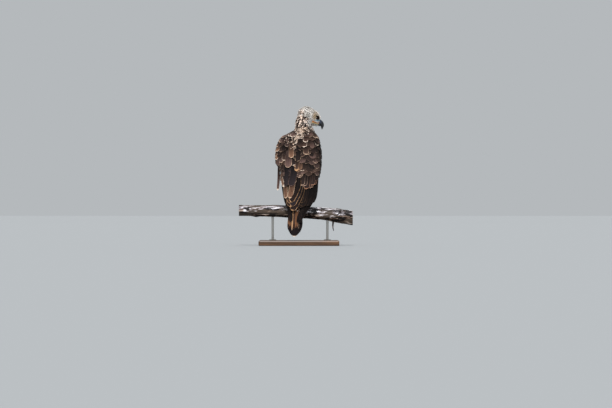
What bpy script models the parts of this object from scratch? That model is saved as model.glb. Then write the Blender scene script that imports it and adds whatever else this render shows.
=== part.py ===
# Grey-headed fish eagle in young plumage, life size, standing on a cut length of dead branch.
# Two rods over a flat base hold the branch. Metres, +Z up, origin under the middle of the base,
# branch along X. The bird's back is towards -Y and its bill points towards +X.

import math

import bmesh
import bpy
from mathutils import Matrix, Vector

# Clearance between pieces that touch, and how far a cutter is grown to leave it
GAP = 0.0003
GROWTH = 0.00042

# The body is turned to its right of straight ahead, and stands a little to the right of the origin
BODY_TURN = math.radians(15.0)
BODY_SHIFT = 0.010

# Heads of the tables below: height, centre, half width, depth to the back, depth to the front
TORSO = (
    (0.225, -0.058, 0.030, 0.013, 0.030),
    (0.270, -0.047, 0.052, 0.025, 0.052),
    (0.310, -0.032, 0.066, 0.042, 0.078),
    (0.360, -0.012, 0.077, 0.057, 0.097),
    (0.410, 0.004, 0.082, 0.061, 0.104),
    (0.460, 0.021, 0.079, 0.057, 0.096),
    (0.500, 0.034, 0.068, 0.046, 0.078),
    (0.530, 0.042, 0.053, 0.035, 0.060),
    (0.560, 0.048, 0.040, 0.032, 0.045),
)
TORSO_ENDS = (0.19, 0.11)

# Outer surface of the closed right wing, and of the left one, which is held a little loose
WING_RIGHT = (
    (0.060, -0.112, 0.028, 0.009, 0.012),
    (0.110, -0.104, 0.033, 0.018, 0.022),
    (0.150, -0.092, 0.050, 0.026, 0.032),
    (0.180, -0.081, 0.068, 0.034, 0.042),
    (0.215, -0.070, 0.088, 0.043, 0.055),
    (0.250, -0.058, 0.096, 0.051, 0.070),
    (0.300, -0.038, 0.098, 0.062, 0.090),
    (0.350, -0.018, 0.100, 0.070, 0.102),
    (0.400, 0.002, 0.099, 0.073, 0.105),
    (0.450, 0.020, 0.094, 0.070, 0.098),
    (0.500, 0.035, 0.081, 0.061, 0.078),
    (0.530, 0.042, 0.066, 0.051, 0.062),
    (0.560, 0.048, 0.044, 0.038, 0.046),
)
WING_LEFT = (
    (0.060, -0.112, 0.030, 0.009, 0.012),
    (0.110, -0.104, 0.038, 0.018, 0.022),
    (0.160, -0.089, 0.046, 0.028, 0.034),
    (0.190, -0.078, 0.056, 0.036, 0.045),
    (0.235, -0.063, 0.073, 0.048, 0.064),
    (0.285, -0.044, 0.088, 0.060, 0.085),
    (0.320, -0.030, 0.095, 0.066, 0.095),
    (0.355, -0.016, 0.099, 0.070, 0.102),
    (0.388, -0.003, 0.122, 0.073, 0.105),
    (0.415, 0.008, 0.130, 0.073, 0.104),
    (0.445, 0.018, 0.132, 0.071, 0.098),
    (0.475, 0.028, 0.130, 0.066, 0.090),
    (0.500, 0.035, 0.120, 0.061, 0.078),
    (0.520, 0.039, 0.105, 0.055, 0.068),
    (0.535, 0.043, 0.076, 0.050, 0.060),
    (0.560, 0.048, 0.042, 0.038, 0.046),
)
WING_TOP, WING_BOTTOM = 0.556, 0.262
CORE_DEPTH = 0.0045          # the feathers' tips stand this far above the wing's core
CORE_THICK = 0.030
CORE_EDGE_THICK = 0.0085
# Height, where the core's edge lies nearest the back and nearest the breast, in degrees
CORE_EDGES = (
    (0.262, 8.0, 92.0),
    (0.310, 3.0, 100.0),
    (0.370, 1.0, 110.0),
    (0.410, 1.0, 120.0),
    (0.450, 1.0, 126.0),
    (0.500, 3.0, 124.0),
    (0.530, 14.0, 119.0),
    (0.556, 36.0, 112.0),
)

# Tiers of wing feathers: name, count, root height and angle of the first and last feather,
# tip height and angle of the first and last, half widths, depth at the root and at the tip
TIERS = (
    ("shoulder", 4, (0.545, 34, 0.543, 112), (0.482, 12, 0.480, 106), (0.019, 0.017), (0.0100, 0.0010)),
    ("scapular", 5, (0.508, 14, 0.502, 118), (0.430, 9, 0.432, 112), (0.021, 0.018), (0.0100, 0.0010)),
    ("low_scapular", 5, (0.462, 14, 0.458, 116), (0.368, 9, 0.378, 104), (0.022, 0.020), (0.0100, 0.0012)),
    ("greater_covert", 5, (0.408, 13, 0.398, 106), (0.284, 11, 0.318, 95), (0.023, 0.021), (0.0100, 0.0014)),
    ("tertial", 3, (0.352, 9, 0.348, 31), (0.212, 8, 0.190, 27), (0.022, 0.020), (0.0095, 0.0022)),
    ("secondary", 4, (0.322, 36, 0.312, 90), (0.178, 30, 0.206, 88), (0.022, 0.020), (0.0100, 0.0034)),
    ("primary", 3, (0.305, 58, 0.295, 84), (0.112, 42, 0.160, 78), (0.015, 0.013), (0.0125, 0.0070)),
)
VANE_THICK = 0.0010
VANE_EDGE_THICK = 0.0006
VANE_ROLL = 0.0009
VANE_BEND = 5.5               # each wing feather bends across its width to lie on the wing
# A narrow feather that hangs loose beside the left wing: root, tip, way out, way across, half width
LOOSE_FEATHER = (
    (-0.1064, -0.0182, 0.392), (-0.1118, -0.0134, 0.262), (0.259, -0.966, 0.0), (0.966, 0.259, 0.0), 0.0062,
)
MIDLINE_CUT = (0.001, 0.006)     # where the two wings part, high on the back and at the tips

# Tail
TAIL_ROOT_Z, TAIL_TIP_Z = 0.285, 0.0435
TAIL_MIDDLE, TAIL_TOP_Y, TAIL_SLOPE = -0.002, -0.082, 0.150
TAIL_PAIRS = 6
TAIL_HALF_VANE = 0.0200
TAIL_LAYER = 0.0013
TAIL_STEP = {1: 0.0018, -1: 0.0026}     # each pair lies this much further out on its side
TAIL_COVERTS = 5

# Head: the point midway between the eyes, the bill's heading from +X and its dip
EYE_MIDDLE = Vector((0.0793, 0.0730, 0.6079))
HEAD_TURN, HEAD_DIP = math.radians(25.0), math.radians(20.0)
# Distance ahead of the eyes, half width, top, bottom
HEAD = (
    (-0.094, 0.0220, 0.021, -0.026),
    (-0.075, 0.0300, 0.030, -0.036),
    (-0.055, 0.0345, 0.0345, -0.042),
    (-0.035, 0.0345, 0.0340, -0.0440),
    (-0.015, 0.0315, 0.0300, -0.0430),
    (0.000, 0.0270, 0.0240, -0.0385),
    (0.012, 0.0210, 0.0165, -0.0345),
    (0.020, 0.0155, 0.0085, -0.0310),
    (0.027, 0.0120, 0.0035, -0.0280),
)
HEAD_ENDS = (0.27, 0.07)
EYE_RADIUS, EYE_SIDE, EYE_AHEAD = 0.0105, 0.0190, -0.003
LID_RADIUS, LID_TUBE = 0.0082, 0.0019
# Where the mouth's line ends under the eye and where it meets the bill, ahead of and above the eyes
GAPE_CORNER, GAPE_BILL = (-0.021, -0.0300), (0.030, -0.0170)

# Neck: height, centre X, centre Y, half width, half depth
NECK = (
    (0.500, 0.024, 0.036, 0.056, 0.052),
    (0.530, 0.026, 0.040, 0.050, 0.047),
    (0.550, 0.025, 0.043, 0.042, 0.042),
    (0.572, 0.0220, 0.045, 0.0375, 0.039),
    (0.600, 0.0220, 0.045, 0.0335, 0.037),
    (0.618, 0.0230, 0.046, 0.0295, 0.033),
    (0.637, 0.0260, 0.047, 0.0270, 0.030),
)
NECK_ENDS = (0.06, 0.17)

# Branch: place along X, height of its middle, radius
BRANCH = (
    (-0.290, 0.1655, 0.0268),
    (-0.200, 0.1660, 0.0272),
    (-0.110, 0.1630, 0.0278),
    (0.000, 0.1590, 0.0292),
    (0.110, 0.1505, 0.0305),
    (0.190, 0.1405, 0.0325),
    (0.260, 0.1290, 0.0340),
)
BRANCH_LEFT, BRANCH_RIGHT = -0.285, 0.255
# Broken twig under the branch: its root, its end, and its radius at each
SNAG_ROOT, SNAG_END = Vector((0.1590, -0.004, 0.128)), Vector((0.1640, -0.007, 0.071))
SNAG_SIZES = (0.0062, 0.0016)

# Legs, toes and claws
FOOT_X = (-0.044, 0.028)
FOOT_Y = 0.002
TARSUS_RADIUS, TOE_RADIUS, CLAW_RADIUS = 0.0068, 0.0068, 0.0043
TOE_HEIGHT, TOE_TAPER = 0.0050, 0.72     # middle of a toe above the bark, and its end's share
# Name, sideways reach at the toe's end, angle round the branch where toe and claw end
TOES = (
    ("inner", -0.021, 12.0, -42.0),
    ("middle", 0.002, -4.0, -54.0),
    ("outer", 0.024, 16.0, -36.0),
    ("hind", 0.000, 148.0, 206.0),
)

# Display stand
BASE_SIZE = (0.380, 0.270, 0.024)
ROD_X = (-0.125, 0.135)
ROD_RADIUS, FLANGE_RADIUS, FLANGE_HEIGHT = 0.006, 0.017, 0.005


def clear_scene():
    for obj in list(bpy.data.objects):
        bpy.data.objects.remove(obj, do_unlink=True)
    for mesh in list(bpy.data.meshes):
        bpy.data.meshes.remove(mesh)


def make_collection(name):
    collection = bpy.data.collections.new(name)
    bpy.context.scene.collection.children.link(collection)
    return collection


def read(table, at):
    """The other columns of a table at one value of its first, on a smooth curve."""
    at = min(max(at, table[0][0]), table[-1][0])
    low = max(i for i in range(len(table) - 1) if table[i][0] <= at)
    start, end = table[low], table[low + 1]
    before, after = table[max(low - 1, 0)], table[min(low + 2, len(table) - 1)]
    step = end[0] - start[0]
    t = (at - start[0]) / step
    values = []
    for c in range(1, len(start)):
        leave = (end[c] - before[c]) / (end[0] - before[0]) * step
        arrive = (after[c] - start[c]) / (after[0] - start[0]) * step
        values.append(
            (2 * t**3 - 3 * t**2 + 1) * start[c]
            + (t**3 - 2 * t**2 + t) * leave
            + (3 * t**2 - 2 * t**3) * end[c]
            + (t**3 - t**2) * arrive
        )
    return values


def mix(a, b, t):
    return a + (b - a) * t


def to_world(point):
    """From the bird's own frame, with its right along +X and its front along +Y."""
    c, s = math.cos(BODY_TURN), math.sin(BODY_TURN)
    return Vector((point[0] * c + point[1] * s + BODY_SHIFT, -point[0] * s + point[1] * c, point[2]))


HEAD_AHEAD = Vector(
    (
        math.cos(HEAD_DIP) * math.cos(HEAD_TURN),
        math.cos(HEAD_DIP) * math.sin(HEAD_TURN),
        -math.sin(HEAD_DIP),
    )
)
HEAD_RIGHT = Vector((math.sin(HEAD_TURN), -math.cos(HEAD_TURN), 0.0))
HEAD_UP = HEAD_RIGHT.cross(HEAD_AHEAD)


def on_head(ahead, right, up):
    return EYE_MIDDLE + HEAD_AHEAD * ahead + HEAD_RIGHT * right + HEAD_UP * up


def end_rounding(t, ends):
    """1 along the middle of a form, falling to 0 at its two poles on a quarter ellipse."""
    first, last = ends
    if t < first:
        return math.sqrt(max(0.0, 1 - ((first - t) / first) ** 2))
    if t > 1 - last:
        return math.sqrt(max(0.0, 1 - ((t - 1 + last) / last) ** 2))
    return 1.0


def finish_mesh(name, bm):
    bmesh.ops.remove_doubles(bm, verts=bm.verts, dist=1e-6)
    bmesh.ops.triangulate(bm, faces=bm.faces)
    bmesh.ops.recalc_face_normals(bm, faces=bm.faces)
    mesh = bpy.data.meshes.new(name)
    bm.to_mesh(mesh)
    bm.free()
    obj = bpy.data.objects.new(name, mesh)
    WORKBENCH.objects.link(obj)
    return obj


def ball(name, rings, sides, place):
    """A closed form with a pole at each end: place(t, angle) puts each point of a sphere."""
    bm = bmesh.new()
    bmesh.ops.create_uvsphere(bm, u_segments=sides, v_segments=rings, radius=1)
    for v in bm.verts:
        t = math.acos(min(1.0, max(-1.0, v.co.z))) / math.pi
        v.co = place(1 - t, math.atan2(v.co.x, -v.co.y))
    return finish_mesh(name, bm)


def tube(name, rows, sides, place):
    """A closed form with a flat cap at each end: place(t, angle) puts each point of a cylinder."""
    bm = bmesh.new()
    bmesh.ops.create_cone(bm, cap_ends=True, segments=sides, radius1=1, radius2=1, depth=2)
    uprights = [e for e in bm.edges if abs(e.verts[0].co.z - e.verts[1].co.z) > 1]
    if rows > 1:
        bmesh.ops.subdivide_edges(bm, edges=uprights, cuts=rows - 1, use_grid_fill=True)
    for v in bm.verts:
        v.co = place((v.co.z + 1) / 2, math.atan2(v.co.x, -v.co.y))
    return finish_mesh(name, bm)


def sheet(name, rows, columns, place):
    """A thin closed form: place(across, along, side) puts each point of a grid and its copy."""
    bm = bmesh.new()
    bmesh.ops.create_grid(bm, x_segments=columns, y_segments=rows, size=0.5)
    bmesh.ops.triangulate(bm, faces=bm.faces)
    copied = bmesh.ops.extrude_face_region(bm, geom=bm.faces[:])["geom"]
    outer = {v for v in copied if isinstance(v, bmesh.types.BMVert)}
    spots = [(v, v.co.x + 0.5, v.co.y + 0.5, 1 if v in outer else -1) for v in bm.verts]
    for v, across, along, side in spots:
        v.co = place(across, along, side)
    return finish_mesh(name, bm)


def settle(obj):
    """Applies an object's modifiers."""
    graph = bpy.context.evaluated_depsgraph_get()
    mesh = bpy.data.meshes.new_from_object(obj.evaluated_get(graph))
    obj.modifiers.clear()
    old = obj.data
    obj.data = mesh
    bpy.data.meshes.remove(old)


def islands(bm):
    """The mesh's separate surfaces, as lists of faces."""
    left = set(bm.faces)
    found = []
    while left:
        front = [left.pop()]
        island = list(front)
        while front:
            near = {f for e in front.pop().edges for f in e.link_faces} & left
            left -= near
            front += near
            island += near
        found.append(island)
    return found


def keep_largest(obj):
    bm = bmesh.new()
    bm.from_mesh(obj.data)
    parts = islands(bm)
    largest = max(parts, key=lambda faces: sum(f.calc_area() for f in faces))
    scraps = {f for faces in parts if faces is not largest for f in faces}
    if scraps:
        bmesh.ops.delete(bm, geom=list(scraps), context="FACES")
    bm.to_mesh(obj.data)
    bm.free()


def fuse(core, pieces, solver="EXACT"):
    """Joins closed pieces to a core as one closed body."""
    group = make_collection(core.name + "_pieces")
    for piece in pieces:
        WORKBENCH.objects.unlink(piece)
        group.objects.link(piece)
    join = core.modifiers.new("Join", "BOOLEAN")
    join.operation = "UNION"
    join.operand_type = "COLLECTION"
    join.collection = group
    join.solver = solver
    settle(core)
    for piece in pieces:
        bpy.data.objects.remove(piece, do_unlink=True)
    bpy.data.collections.remove(group)
    keep_largest(core)
    return core


def cut(obj, *cutters, solver="EXACT"):
    for cutter in cutters:
        away = obj.modifiers.new("Cut", "BOOLEAN")
        away.operation = "DIFFERENCE"
        away.object = cutter
        away.solver = solver
        settle(obj)
    keep_largest(obj)
    return obj


def grown(obj, by=GROWTH):
    """A copy with every face moved outwards, to cut a neighbour clear of the original."""
    bm = bmesh.new()
    bm.from_mesh(obj.data)
    bm.normal_update()
    shifts = [(v, v.normal * by * v.calc_shell_factor()) for v in bm.verts]
    for v, shift in shifts:
        v.co += shift
    mesh = bpy.data.meshes.new(obj.name + "_cutter")
    bm.to_mesh(mesh)
    bm.free()
    cutter = bpy.data.objects.new(obj.name + "_cutter", mesh)
    CUTTERS.objects.link(cutter)
    cutter.hide_render = True
    cutter.display_type = "WIRE"
    return cutter


def as_cutter(obj):
    WORKBENCH.objects.unlink(obj)
    CUTTERS.objects.link(obj)
    obj.hide_render = True
    obj.display_type = "WIRE"
    return obj


def make_material(name, colour, roughness, metallic=0.0):
    material = bpy.data.materials.new(name)
    material.use_nodes = True
    shader = material.node_tree.nodes["Principled BSDF"]
    shader.inputs["Base Color"].default_value = (*colour, 1.0)
    shader.inputs["Roughness"].default_value = roughness
    shader.inputs["Metallic"].default_value = metallic
    return material


def deliver(obj, material, smooth_angle=40.0):
    """Moves a finished piece into the eagle's collection, with its material."""
    obj.data.materials.clear()
    obj.data.materials.append(material)
    obj.data.shade_smooth()
    obj.data.set_sharp_from_angle(angle=math.radians(smooth_angle))
    WORKBENCH.objects.unlink(obj)
    EAGLE.objects.link(obj)
    return obj


# Torso, neck and head


def torso_form():
    low, high = TORSO[0][0], TORSO[-1][0]

    def place(t, angle):
        z = mix(low, high, t)
        middle, width, back, front = read(TORSO, z)
        width, back, front = (x * end_rounding(t, TORSO_ENDS) for x in (width, back, front))
        depth = back if math.cos(angle) > 0 else front
        return to_world((width * math.sin(angle), middle - depth * math.cos(angle), z))

    return ball("torso", 14, 20, place)


def neck_form():
    low, high = NECK[0][0], NECK[-1][0]

    def place(t, angle):
        z = mix(low, high, t)
        x, y, width, depth = read(NECK, z)
        narrow = end_rounding(t, NECK_ENDS)
        return Vector((x + width * narrow * math.sin(angle), y - depth * narrow * math.cos(angle), z))

    return ball("neck", 11, 16, place)


def head_form():
    back, front = HEAD[0][0], HEAD[-1][0]

    def place(t, angle):
        ahead = mix(back, front, t)
        width, top, bottom = read(HEAD, ahead)
        narrow = end_rounding(t, HEAD_ENDS)
        middle, half = (top + bottom) / 2, (top - bottom) / 2
        return on_head(ahead, width * narrow * math.sin(angle), middle + half * narrow * math.cos(angle))

    return ball("head", 13, 16, place)


def head_lump(name, centre, reach, rings=4, sides=6):
    """A small egg on the head: centre and half sizes ahead, right and up."""

    def place(t, angle):
        polar = math.pi * (1 - t)
        return on_head(
            centre[0] + reach[0] * math.cos(polar),
            centre[1] + reach[1] * math.sin(polar) * math.sin(angle),
            centre[2] + reach[2] * math.sin(polar) * math.cos(angle),
        )

    return ball(name, rings, sides, place)


def eye_ball(name, side, rings=8, sides=11):
    reach = (EYE_RADIUS, EYE_RADIUS, EYE_RADIUS)
    return head_lump(name, (EYE_AHEAD, side * EYE_SIDE, 0.0), reach, rings, sides)


def eyelids(side):
    """The rim of skin round one eye, a ring that follows the side of the face."""

    def place(t, angle):
        turn = 2 * math.pi * t
        spread = LID_RADIUS + LID_TUBE * 0.8 * math.cos(angle)
        ahead, up = spread * math.cos(turn), spread * 0.92 * math.sin(turn)
        level = 0.0270 - 0.25 * max(0.0, ahead) - 0.03 * up + LID_TUBE * math.sin(angle)
        return on_head(EYE_AHEAD + ahead, side * level, up)

    bm = bmesh.new()
    bmesh.ops.create_grid(bm, x_segments=4, y_segments=11, size=0.5)
    for v in bm.verts:
        v.co = place(v.co.y + 0.5, 2 * math.pi * (v.co.x + 0.5))
    bmesh.ops.remove_doubles(bm, verts=bm.verts, dist=1e-6)
    return finish_mesh("lids", bm)


def bill_path(t):
    """Middle of the upper bill from cere to tip, ahead of and above the eyes."""
    stops = (
        (0.0, 0.0160, -0.0105),
        (0.35, 0.0303, -0.0105),
        (0.62, 0.0385, -0.0152),
        (0.82, 0.0432, -0.0235),
        (1.0, 0.0492, -0.0366),
    )
    return read(stops, t)


def upper_bill():
    sizes = (
        (0.0, 0.0120, 0.0110),
        (0.35, 0.0110, 0.0094),
        (0.62, 0.0098, 0.0074),
        (0.82, 0.0074, 0.0050),
        (1.0, 0.0008, 0.0007),
    )

    def place(t, angle):
        ahead, up = bill_path(t)
        before, after = bill_path(max(0.0, t - 0.02)), bill_path(min(1.0, t + 0.02))
        run = Vector((after[0] - before[0], after[1] - before[1])).normalized()
        tall, wide = read(sizes, t)
        keel = 1 - 0.12 * (1 - abs(math.cos(angle))) * (math.cos(angle) > 0)
        rise = tall * math.cos(angle)
        return on_head(ahead - run.y * rise, wide * keel * math.sin(angle), up + run.x * rise)

    return tube("bill_upper", 9, 12, place)


def lower_bill():
    stops = (
        (0.0, 0.002, -0.0300, 0.0080, 0.0120),
        (0.5, 0.022, -0.0285, 0.0062, 0.0084),
        (0.85, 0.0340, -0.0278, 0.0046, 0.0048),
        (1.0, 0.0385, -0.0274, 0.0014, 0.0016),
    )

    def place(t, angle):
        ahead, up, tall, wide = read(stops, t)
        return on_head(ahead, wide * math.sin(angle), up + tall * math.cos(angle))

    return tube("bill_lower", 4, 10, place)


def gape_slit(side):
    """Thin wedge that cuts the line of the mouth from the bill back to its corner."""
    corner, line = GAPE_CORNER

    def place(across, along, face):
        ahead = mix(corner, GAPE_BILL[0], along)
        up = mix(line, GAPE_BILL[1], along) - 0.0015 * math.sin(math.pi * along)
        right = mix(0.045, mix(0.020, 0.004, along), across)
        return on_head(ahead, side * right, up + face * 0.00045)

    return as_cutter(sheet("gape_cutter", 3, 1, place))


def gape_skin(side):
    """The soft lip of bare skin that frames the mouth's line."""
    corner, line = GAPE_CORNER

    def place(t, angle):
        ahead = mix(corner - 0.003, GAPE_BILL[0] - 0.008, t)
        up = mix(line, GAPE_BILL[1] - 0.001, t) - 0.0015 * math.sin(math.pi * t)
        level = mix(0.0262, 0.0108, t**1.4)
        swell = 0.0024 * end_rounding(t, (0.2, 0.2))
        return on_head(ahead, side * (level + swell * math.sin(angle)), up + swell * math.cos(angle))

    return ball("gape_skin", 5, 5, place)


def build_head(skin, horn, glass, torso_cutter):
    head = head_form()
    neck = neck_form()
    neck_cutter = grown(neck)
    upper, lower = upper_bill(), lower_bill()
    details = []
    for side in (1, -1):
        details.append(eyelids(side))
        details.append(gape_skin(side))
        details.append(head_lump("brow", (-0.004, side * 0.0205, 0.0118), (0.0155, 0.0058, 0.0042)))
    neck_reach = grown(head)
    fuse(head, details)
    cut(head, gape_slit(1), gape_slit(-1), grown(upper), grown(lower), solver="MANIFOLD")
    cut(lower, grown(upper))
    for side, word in ((1, "right"), (-1, "left")):
        eye = eye_ball(f"eye_{word}", side)
        cut(head, grown(eye), solver="MANIFOLD")
        deliver(eye, glass, 60.0)
        nostril = head_lump("nostril", (0.0275, side * 0.0104, -0.0040), (0.0030, 0.0032, 0.0014))
        cut(upper, as_cutter(nostril))
    cut(neck, neck_reach, torso_cutter)
    deliver(head, skin)
    deliver(neck, skin)
    deliver(upper, horn)
    deliver(lower, horn)
    return neck_cutter


# Wings


def wing_surface(side, z, degrees):
    """A point of a closed wing's outer surface, in the bird's own frame."""
    middle, width, back, front = read(WING_RIGHT if side > 0 else WING_LEFT, z)
    angle = math.radians(degrees)
    depth = back if math.cos(angle) > 0 else front
    return Vector((side * width * math.sin(angle), middle - depth * math.cos(angle), z))


def wing_normal(side, z, degrees):
    down = wing_surface(side, z - 0.004, degrees) - wing_surface(side, z + 0.004, degrees)
    round_ = wing_surface(side, z, degrees + 2) - wing_surface(side, z, degrees - 2)
    return (down.cross(round_) * side).normalized()


def vane_width(t, blunt):
    """A feather's half width along its length: narrow at the root, full, then a round tip."""
    if t < 0.45:
        return mix(0.50, 1.0, math.sin(t / 0.45 * math.pi / 2))
    return math.sqrt(max(0.0, 1 - max(0.0, (t - blunt) / (1 - blunt)) ** 2.4))


def vane(name, line, half_width, roll=VANE_ROLL, thick=VANE_THICK, blunt=0.62, bend=VANE_BEND):
    """One feather: line(t) gives its middle, the way out from the body and the way across."""
    stops = (0.0, blunt, 1 - (1 - blunt) * 0.26, 1.0)

    def place(across, along, face):
        t = stops[round(along * 3)]
        middle, out, side = line(t)
        reach = 2 * across - 1
        full = vane_width(t, blunt)
        thickness = mix(thick, VANE_EDGE_THICK, max(abs(reach), 1 - full))
        sideways = reach * half_width * full
        lift = roll * reach * full - bend * sideways**2 + face * thickness / 2
        return to_world(middle + side * sideways + out * lift)

    return sheet(name, 3, 2, place)


def wing_line(side, root, tip, depths):
    """The line of a feather from root to tip on the wing's surface, at given depths below it."""

    def line(t):
        z, degrees = mix(root[0], tip[0], t), mix(root[1], tip[1], t)
        out = wing_normal(side, z, degrees)
        depth = mix(depths[0], depths[1], t**0.8)
        ahead = wing_surface(side, z - 0.003, mix(root[1], tip[1], t + 0.02))
        along = (ahead - wing_surface(side, z, degrees)).normalized()
        across = along.cross(out).normalized() * side
        return wing_surface(side, z, degrees) - out * depth, out, -across

    return line


def wing_core(side, name):
    def place(across, along, face):
        z = mix(WING_TOP, WING_BOTTOM, along)
        near, far = read(CORE_EDGES, z)
        degrees = mix(near, far, across)
        out = wing_normal(side, z, degrees)
        edge = min(1.0, 4.5 * min(across, 1 - across), 5.0 * min(along, 1 - along))
        sunk = CORE_DEPTH + 0.0035 * (1 - edge)
        if face > 0:
            return to_world(wing_surface(side, z, degrees) - out * sunk)
        body = max(0.0, min(1.0, (z - 0.285) / 0.05))
        thick = mix(CORE_EDGE_THICK, CORE_THICK, body * min(1.0, 0.45 + edge))
        return to_world(wing_surface(side, z, degrees) - out * (sunk + thick))

    return sheet(name, 7, 5, place)


def midline_wall(side):
    """Everything past the plane where the two wings part."""

    def place(across, along, face):
        z = mix(0.60, 0.05, along)
        edge = mix(MIDLINE_CUT[0], MIDLINE_CUT[1], along) + side * 0.7 * GAP
        return to_world((edge - side * 0.2 * across, face * 0.25, z))

    return as_cutter(sheet("midline_cutter", 1, 1, place))


def build_wing(side, plumage, clear_of):
    name = "wing_right" if side > 0 else "wing_left"
    core = wing_core(side, name)
    feathers = []
    for tier, count, root, tip, widths, depths in TIERS:
        for i in range(count):
            t = i / (count - 1)
            start = (mix(root[0], root[2], t), mix(root[1], root[3], t))
            end = (mix(tip[0], tip[2], t) - 0.004 * (i % 2), mix(tip[1], tip[3], t))
            line = wing_line(side, start, end, depths)
            half = mix(widths[0], widths[1], t)
            feathers.append(vane(f"{tier}_{i}", line, half, -side * VANE_ROLL))
    if side < 0:
        root, tip, out, across, half = LOOSE_FEATHER

        def loose_line(t):
            return Vector(root).lerp(Vector(tip), t), Vector(out), Vector(across)

        feathers.append(vane("loose_feather", loose_line, half, 0.0))
    fuse(core, feathers)
    cut(core, *clear_of, midline_wall(side))
    return deliver(core, plumage)


# Tail


def tail_line(offset, spread, layer, root_z, tip_z):
    def line(t):
        z = mix(root_z, tip_z, t)
        x = mix(offset, offset + spread, t)
        y = TAIL_TOP_Y - (TAIL_ROOT_Z - z) * TAIL_SLOPE + layer
        out = Vector((0.0, -1.0, TAIL_SLOPE)).normalized()
        return Vector((TAIL_MIDDLE + x, y, z)), out, Vector((1.0, 0.0, 0.0))

    return line


def tail_root():
    def place(t, angle):
        z = mix(0.248, 0.306, t)
        wide = 0.030 * end_rounding(t, (0.35, 0.3))
        deep = 0.0100 * end_rounding(t, (0.35, 0.3))
        y = TAIL_TOP_Y - (TAIL_ROOT_Z - z) * TAIL_SLOPE + TAIL_LAYER * TAIL_PAIRS
        return to_world((TAIL_MIDDLE + wide * math.sin(angle), y - deep * math.cos(angle), z))

    return ball("tail", 7, 14, place)


def build_tail(plumage, clear_of):
    core = tail_root()
    root_cutter = grown(core)
    vanes = []
    for pair in range(TAIL_PAIRS):
        for side in (1, -1):
            offset, spread = side * (0.001 + TAIL_STEP[side] * pair), side * (0.0005 + 0.0010 * pair)
            layer = TAIL_LAYER * (2 * pair + (side > 0))
            tip = TAIL_TIP_Z + 0.0007 * pair**2
            line = tail_line(offset, spread, layer, TAIL_ROOT_Z, tip)
            vanes.append(vane(f"tail_{pair}_{side}", line, TAIL_HALF_VANE, 0.0, 0.0008, 0.84, 0.0))
    for i in range(TAIL_COVERTS):
        across = 2 * i / (TAIL_COVERTS - 1) - 1
        length = 0.108 - 0.016 * abs(across)

        def covert_line(t, across=across, length=length):
            z = TAIL_ROOT_Z + 0.012 - length * t
            y = TAIL_TOP_Y - (TAIL_ROOT_Z - z) * TAIL_SLOPE - mix(-0.004, 0.0026, t)
            out = Vector((0.35 * across, -1.0, TAIL_SLOPE)).normalized()
            point = Vector((TAIL_MIDDLE + mix(0.013, 0.019, t) * across, y + 0.003 * across**2, z))
            return point, out, Vector((1.0, 0.35 * across, 0.0)).normalized()

        vanes.append(vane(f"tail_covert_{i}", covert_line, 0.012, 0.0006))
    fuse(core, vanes)
    cut(core, *clear_of)
    deliver(core, plumage)
    return root_cutter


# Legs and feet


def branch_axis(x):
    return read(BRANCH, x)


def branch_radius(x, angle):
    """Radius of the weathered branch: nearly round where the feet hold it, lumpier elsewhere."""
    base = branch_axis(x)[1]
    rough = 0.25 + 0.75 * min(1.0, abs(x - 0.011) / 0.10)
    lumps = 0.045 * math.sin(2 * angle + 21 * x + 0.6) + 0.03 * math.sin(3 * angle - 34 * x)
    knot = 0.14 * math.exp(-(((x - 0.185) / 0.018) ** 2)) * max(0.0, math.cos(angle - 2.3)) ** 3
    stub = 0.16 * math.exp(-(((x + 0.205) / 0.015) ** 2)) * max(0.0, math.cos(angle + 1.9)) ** 3
    return base * (1 + rough * lumps + knot + stub)


def branch_form():
    def place(t, angle):
        x = mix(BRANCH_LEFT, BRANCH_RIGHT, t)
        z = branch_axis(x)[0]
        radius = branch_radius(x, angle)
        return Vector((x, -radius * math.cos(angle), z + radius * math.sin(angle)))

    def snag(t, angle):
        radius = mix(SNAG_SIZES[0], SNAG_SIZES[1], t**0.8)
        middle = SNAG_ROOT.lerp(SNAG_END, t)
        return middle + Vector((radius * math.sin(angle), -radius * math.cos(angle), 0))

    return fuse(tube("perch_branch", 20, 14, place), [tube("snag", 3, 7, snag)])


def grip_point(x, degrees, reach):
    """A point round the branch: 90 degrees is its top and 0 its front, away from the tail."""
    z, radius = branch_axis(x)
    a = math.radians(degrees)
    return Vector((x, (radius + reach) * math.cos(a), z + (radius + reach) * math.sin(a)))


def toe_form(name, foot_x, spread, end, rows=5):
    def place(t, angle):
        x = foot_x + spread * math.sin(t * math.pi / 2)
        degrees = mix(90.0, end, t)
        knuckles = 1 + 0.10 * math.cos(2 * math.pi * 2.5 * t)
        size = mix(TOE_RADIUS, TOE_RADIUS * TOE_TAPER, t) * knuckles
        middle = grip_point(x, degrees, TOE_HEIGHT)
        out = (middle - Vector((x, 0, branch_axis(x)[0]))).normalized()
        return middle + out * (size * math.cos(angle)) + Vector((size * math.sin(angle), 0, 0))

    return tube(name, rows, 6, place)


def claw_form(name, foot_x, spread, start, end):
    turn = math.copysign(0.9, end - start)

    def place(t, angle):
        x = foot_x + spread * (1 + 0.10 * t)
        degrees = mix(start + turn, end, t)
        size = CLAW_RADIUS * (1 - t) ** 0.75 + 0.0004
        arch = 0.0050 * math.sin(math.pi * min(1.0, t * 1.15)) - 0.0028 * t
        middle = grip_point(x, degrees, TOE_HEIGHT + arch)
        out = (middle - Vector((x, 0, branch_axis(x)[0]))).normalized()
        return middle + out * (size * math.cos(angle)) + Vector((size * 0.8 * math.sin(angle), 0, 0))

    return tube(name, 4, 7, place)


def leg_line(foot_x, t):
    """Middle of a leg from the ankle pad up into the belly."""
    side = 1 if foot_x > 0 else -1
    low = Vector((foot_x, FOOT_Y, 0.192))
    high = to_world((side * 0.040, 0.020, 0.345))
    return low.lerp(high, t)


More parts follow.
